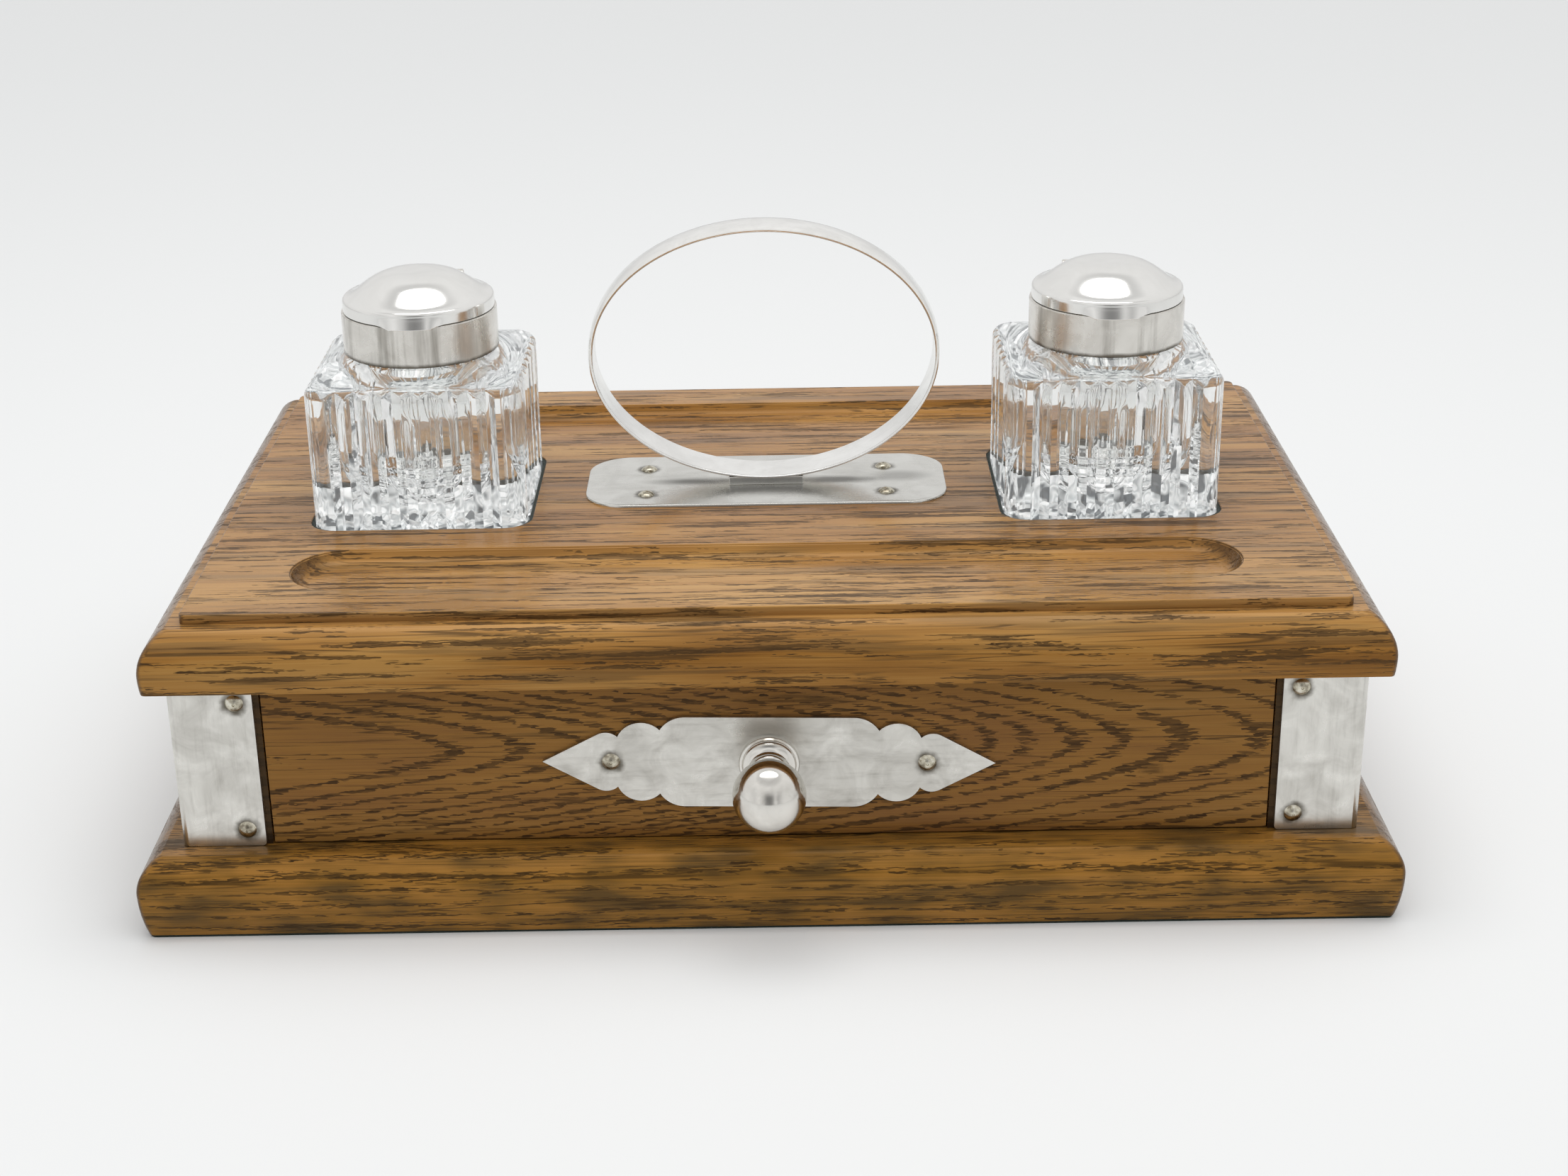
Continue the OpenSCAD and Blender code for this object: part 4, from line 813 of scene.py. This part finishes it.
# The underside is cut with a star, and the lower sides are ground in waves so that a well sits
# firmly in its socket. These ground facets are painted bright and glow a little with painted light,
# standing in for the light that enters above, in patches about 5 mm wide.
glowing_facets = bpy.data.materials.new("ground_facets_painted_glow")
glowing_facets.use_nodes = True
tree = glowing_facets.node_tree
frost = tree.nodes["Principled BSDF"]
here = add(tree, "ShaderNodeVectorMath", {0: add(tree, "ShaderNodeTexCoord").outputs["Object"],
    1: (1000, 1000, 1000)}, operation="MULTIPLY")
swell = add(tree, "ShaderNodeTexNoise", {"Vector": here, "Scale": 1 / 6.25, "Detail": 1.0})
swell = add(tree, "ShaderNodeVectorMath", {0: swell.outputs["Color"], "Scale": 6.0}, operation="SCALE")
swell = add(tree, "ShaderNodeVectorMath", {0: here, 1: swell}, operation="ADD")
swell = add(tree, "ShaderNodeVectorMath", {0: swell, 1: (1 / 5, 1 / 5, 1 / 3.333)}, operation="MULTIPLY")
swell = add(tree, "ShaderNodeTexNoise", {"Vector": swell, "Scale": 1.0, "Detail": 0.0})
# Bright and dim patches, a painted glint, set as colour and also as a painted glow
painted_glow = add(tree, "ShaderNodeValToRGB", {0: swell.outputs["Fac"]}, stops=[
    (0.32, "#787c7f"), (0.4, "#c0c3c4"), (0.5, "#eff0f0"), (0.6, "#c9cccd"), (0.68, "#fdfdfd")])
tree.links.new(painted_glow.outputs["Color"], frost.inputs["Base Color"])
tree.links.new(painted_glow.outputs["Color"], frost.inputs["Emission Color"])
frost.inputs["Roughness"].default_value = 0.12
frost.inputs["Metallic"].default_value = 0.4
frost.inputs["Emission Strength"].default_value = 0.42


def plan_points():
    """Round the block's plan: each point's place, its way in, and how deep the flute is there."""
    straight = glass_half - glass_corner
    points = []
    for quarter in range(4):
        turn = Matrix.Rotation(quarter * math.pi / 2, 2)
        for i in range(flutes * flute_steps + 1):
            x = -straight + 2 * straight * i / (flutes * flute_steps)
            phase = (i % flute_steps) / flute_steps
            cut = flute_depth * (1 - abs(2 * phase - 1)) if i < flutes * flute_steps else 0.0
            points.append((turn @ Vector((x, -glass_half)), turn @ Vector((0, 1)), cut))
        for i in range(1, 8):
            a = -math.pi / 2 + math.pi / 2 * i / 8
            out = Vector((math.cos(a), math.sin(a)))
            points.append((turn @ (Vector((straight, -straight)) + glass_corner * out), turn @ -out, 0.0))
    return points


def glass_block(name, x, body, stands_for):
    """One block, carried up loop by loop from the star under it to its neck and down into its pot."""
    bm = bmesh.new()
    plan = plan_points()

    def ring_at(z, inset, to_circle=0.0, circle_r=0.0, star=0.0, lobe=0.0):
        places = []
        for i, (spot, inward, cut) in enumerate(plan):
            p = spot + inward * max(cut, inset)
            if to_circle:
                reach = circle_r + lobe * math.cos(lobes * math.atan2(spot.y, spot.x))
                p = p.lerp(spot.normalized() * reach, to_circle)
            places.append((p.x, p.y, z + star * (1 - abs(2 * (i % flute_steps) / flute_steps - 1))))
        return places

    # The star under the block, the ground edge round it, and the upright sides
    levels = [ring_at(glass_z + 0.2, 0, 1.0, 1.5), ring_at(glass_z + 0.2, 0, 1.0, 9.0, star=1.4),
        ring_at(glass_z + 0.15, 0, 0.6, 18.0, star=2.2)]
    levels += [ring_at(glass_z + 0.06, 2.8, star=2.0), ring_at(glass_z + 0.06, foot_chamfer + 0.3)]
    levels += [ring_at(glass_z + 0.3, foot_chamfer * 0.85), ring_at(glass_z + foot_chamfer, 0.15),
        ring_at(glass_z + foot_chamfer + 0.3, 0), ring_at(ground_to, 0)]

    # The rounded upper edge, and the shoulder that rises to the neck
    for i in range(0, 11):
        a = math.pi / 2 * i / 10
        levels.append(ring_at(edge_z - edge_round * (1 - math.sin(a)), edge_round * (1 - math.cos(a))))
    for i in range(1, 9):
        t = i / 8
        rise = (shoulder_z - edge_z) * (0.55 * t + 0.45 * t * t)
        levels.append(ring_at(edge_z + rise, edge_round + 0.01, t, 18.9))

    # The neck, the bore down through it, and the pot with its rippled walls and round floor
    neck = [(neck_r, shoulder_z + 0.1), (neck_r, neck_top - 0.6), (neck_r - 0.6, neck_top)]
    bore = [(bore_r + 0.6, neck_top), (bore_r, neck_top - 0.6), (bore_r, 114.0), (bore_r + 0.4, 111.5)]
    for r, z in neck + bore + [(pot_r - 0.9, 109.0), (pot_r, pot_top - 1.5)]:
        levels.append(ring_at(z, 0, 1.0, r))
    levels.append(ring_at(pot_top - 4, 0, 1.0, pot_r, lobe=0.16))
    bowl_z = pot_floor + floor_round
    for i in range(1, 60):
        t = i / 60
        a = math.pi / 2 * t
        r, z = pot_r - floor_round * (1 - math.cos(a)), bowl_z - floor_round * math.sin(a)
        wave = ripple * math.sin(math.tau * i / 7) * min(1, 3 * t) * (1 - t)
        levels.append(ring_at(z + wave * math.sin(a), 0, 1.0, r + wave * math.cos(a), lobe=0.16 * (1 - t)))
    levels.append(ring_at(pot_floor, 0, 1.0, 0.3))
    first = [bm.verts.new(p) for p in levels[0]]
    bm.faces.new(first)
    rim = [bm.edges.get((a, b)) for a, b in zip(first, first[1:] + first[:1])]
    last = first
    for level in levels[1:]:
        grown = bmesh.ops.extrude_edge_only(bm, edges=rim)["geom"]
        fresh = [g for g in grown if isinstance(g, bmesh.types.BMVert)]
        above = {}
        for v in fresh:
            for e in v.link_edges:
                below = e.other_vert(v)
                if below not in fresh:
                    above[below] = v
        last = [above[v] for v in last]
        for v, p in zip(last, level):
            v.co = p
        rim = [bm.edges.get((a, b)) for a, b in zip(last, last[1:] + last[:1])]
    bmesh.ops.edgeloop_fill(bm, edges=rim)

    # The star and the lower part of each fluted side are ground and take the painted glow; the round corners
    # stay clear
    for face in bm.faces:
        middle = face.calc_center_median()
        near, far = sorted((abs(middle.x), abs(middle.y)))
        star = middle.z < glass_z + star_rise and far < glass_half - star_margin
        side = middle.z < ground_to and far > side_from and near < side_to
        face.material_index = int(star or side)
    bmesh.ops.translate(bm, vec=(x, well_y, 0), verts=bm.verts)
    block = finished(name, bm, body, glass, "glass", stands_for, crease=24)
    block.data.materials.append(glowing_facets)


glass_block("glass_block_left", -well_x, "well_left", "glass_well_left")
glass_block("glass_block_right", well_x, "well_right", "glass_well_right")


# Collars
# Drawn silver collars set on the necks with plaster. Each has a turned-in top and two knuckles
# at the back for the lid's hinge, and is duller than the lid above it.
collar_r, collar_z, collar_top, collar_wall, mouth_r = 19.6, 117.3, 127.7, 0.8, 15.5
hinge_y, hinge_z, barrel_r, hinge_half, knuckle_half = 21.2, 129.9, 1.7, 9.0, 3.5
collar_silver = silver("collar_silver", tone="#e2dfd9", rough=0.2, stroke=(4.5, 4.5, 70), haze=0.16,
    streaks=0.8, grime=collar_z)


def knuckle(bm, low_x, high_x, x):
    """A length of hinge barrel with softened ends."""
    middle = Matrix.Translation((x + (low_x + high_x) / 2, well_y + hinge_y, hinge_z))
    along = middle @ Matrix.Rotation(math.pi / 2, 4, "Y")
    tube = bmesh.ops.create_cone(bm, cap_ends=True, segments=24, radius1=barrel_r, radius2=barrel_r,
        depth=high_x - low_x, matrix=along)
    ends = list({e for v in tube["verts"] for e in v.link_edges if e.calc_face_angle(0) > 1})
    bmesh.ops.bevel(bm, geom=ends, offset=0.15, segments=2, profile=0.5, affect="EDGES", material=-1)


def web(bm, low, high):
    """A small block that joins a knuckle to its collar or lid."""
    middle = [(a + b) / 2 for a, b in zip(low, high)]
    size = [b - a for a, b in zip(low, high)]
    shape = Matrix.Translation(middle) @ Matrix.Diagonal((*size, 1))
    bmesh.ops.create_cube(bm, size=1, matrix=shape)


def turned(bm, outline, x):
    """A closed half profile of (radius, height) turned about a well's middle line, on which no edge turns."""
    chain = [bm.verts.new((r, 0, z)) for r, z in outline]
    edges = [bm.edges.new(pair) for pair in zip(chain, chain[1:] + chain[:1]) if pair[0].co.x or pair[1].co.x]
    before = set(bm.verts) - set(chain)
    bmesh.ops.spin(bm, geom=chain + edges, cent=(0, 0, 0), axis=(0, 0, 1), angle=math.tau, steps=96,
        use_merge=True)
    fresh = [v for v in bm.verts if v not in before]
    bmesh.ops.translate(bm, vec=(x, well_y, 0), verts=fresh)
    return fresh


collar_outline = [
    (collar_r - collar_wall, collar_z), (collar_r - 0.15, collar_z), (collar_r, collar_z + 0.2),
    (collar_r, collar_top - 0.35), (collar_r - 0.12, collar_top - 0.1), (collar_r - 0.4, collar_top),
    (mouth_r + 0.2, collar_top), (mouth_r, collar_top - 0.2), (mouth_r, collar_top - collar_wall),
    (collar_r - collar_wall, collar_top - collar_wall)]

# Plaster of Paris between neck and collar: chalky, with grey and cream specks a millimetre wide
plaster = bpy.data.materials.new("plaster")
plaster.use_nodes = True
tree = plaster.node_tree
chalk = tree.nodes["Principled BSDF"]
here = add(tree, "ShaderNodeTexCoord").outputs["Object"]
specks = add(tree, "ShaderNodeTexNoise", {"Vector": here, "Scale": 1000 / 1.1111, "Detail": 3.0})
chalky = add(tree, "ShaderNodeValToRGB", {0: specks.outputs["Fac"]},
    stops=[(0.35, "#b5ae9e"), (0.5, "#cfc9bb"), (0.65, "#dcd7ca")])
tree.links.new(chalky.outputs["Color"], chalk.inputs["Base Color"])
grains = add(tree, "ShaderNodeBump", {"Height": specks.outputs["Fac"], "Strength": 0.4, "Distance": 0.0001})
tree.links.new(grains.outputs[0], chalk.inputs["Normal"])
chalk.inputs["Roughness"].default_value = 0.85

for side, x in (("left", -well_x), ("right", well_x)):
    bm = bmesh.new()
    turned(bm, collar_outline, x)
    for s in (-1, 1):
        low_x, high_x = sorted((s * hinge_half, s * (knuckle_half + 0.3)))
        knuckle(bm, low_x, high_x, x)
        web(bm, (x + low_x, well_y + 17.5, collar_top - 3), (x + high_x, well_y + hinge_y, collar_top))
        web(bm, (x + low_x, well_y + hinge_y - 1.3, collar_top - 3),
            (x + high_x, well_y + hinge_y + 1.3, hinge_z))
    finished(f"drawn_collar_{side}", bm, f"well_{side}", collar_silver, "silver", f"collar_{side}", crease=30)
    for node, material in ((f"collar_cement_{side}", plaster), (f"hinge_pin_{side}", pin_brass)):
        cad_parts[node].data.materials.clear()
        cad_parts[node].data.materials.append(material)


# Lids
# Spun silver domes with an upright rim. The rim is pulled out and down in front into a thumb lip,
# and a single knuckle behind turns on the hinge pin.
lid_r, lid_z, lid_rim, lid_edge, lid_t, lid_foot = 19.1, 127.95, 3.2, 1.0, 0.9, -0.15
dome_rise, dome_full, dome_t = 6.1, 2.0, 1.0
lip_half_angle, lip_reach, lip_drop, lip_top = math.radians(27), 0.8, 0.6, 1.9
lid_silver = silver("lid_silver", tone="#ebeae7", rough=0.115, stroke=(5, 5, 5), haze=0.05, streaks=0.0,
    cloudy=0.1)


def dome(r):
    """Height of the dome above the rim at a distance from its middle: an ogee, broad on top."""
    return dome_rise * (1 + math.cos(math.pi * (r / lid_r) ** dome_full)) / 2


spring = lid_r - lid_edge
lid_outline = [(0.0, lid_rim + dome_rise)]
lid_outline += [(r, lid_rim + dome(r)) for r in (spring * i / 30 for i in range(1, 31))]
lid_outline += [(spring + lid_edge * math.cos(a), lid_rim + dome(spring) - lid_edge * (1 - math.sin(a)))
    for a in (1.3, 1.05, 0.8, 0.5, 0.2, 0.0)]
lid_outline += [(lid_r, z) for z in (2.0, 1.6, 1.1, 0.6, -0.03)]
lid_outline += [(lid_r - 0.1, lid_foot), (lid_r - 0.2, lid_foot), (lid_r - lid_t, lid_foot)]
lid_outline += [(lid_r - lid_t, lid_rim - dome_t)]
lid_outline += [(r, lid_rim - dome_t + dome(r)) for r in (spring * i / 16 for i in range(15, 0, -1))]
lid_outline += [(0.0, lid_rim - dome_t + dome_rise)]
for side, x in (("left", -well_x), ("right", well_x)):
    bm = bmesh.new()
    shell = turned(bm, [(r, lid_z + z) for r, z in lid_outline], x)
    for v in shell:
        flat_r = math.hypot(v.co.x - x, v.co.y - well_y)
        z = v.co.z - lid_z
        swing = abs(math.atan2(v.co.x - x, -(v.co.y - well_y)))
        if flat_r < lid_r - 0.3 or z > lip_top or swing > lip_half_angle:
            continue
        pull = min(1, 1.6 * math.cos(math.pi / 2 * swing / lip_half_angle))
        outside = flat_r > lid_r - 0.15
        out = lip_reach * (lip_top - z) / (lip_top - 0.1) if outside else lip_reach * 0.75
        down = lip_drop * max(0, 1 - z / 1.1) * pull**3 if outside else 0.0
        scale = (flat_r + out * pull) / flat_r
        v.co = (x + (v.co.x - x) * scale, well_y + (v.co.y - well_y) * scale, v.co.z - down)
    knuckle(bm, -knuckle_half, knuckle_half, x)
    web(bm, (x - knuckle_half, well_y + lid_r - 2.5, lid_z + 0.05),
        (x + knuckle_half, well_y + hinge_y, lid_z + lid_rim))
    finished(f"domed_lid_{side}", bm, f"lid_{side}", lid_silver, "silver", f"lid_{side}", crease=38)
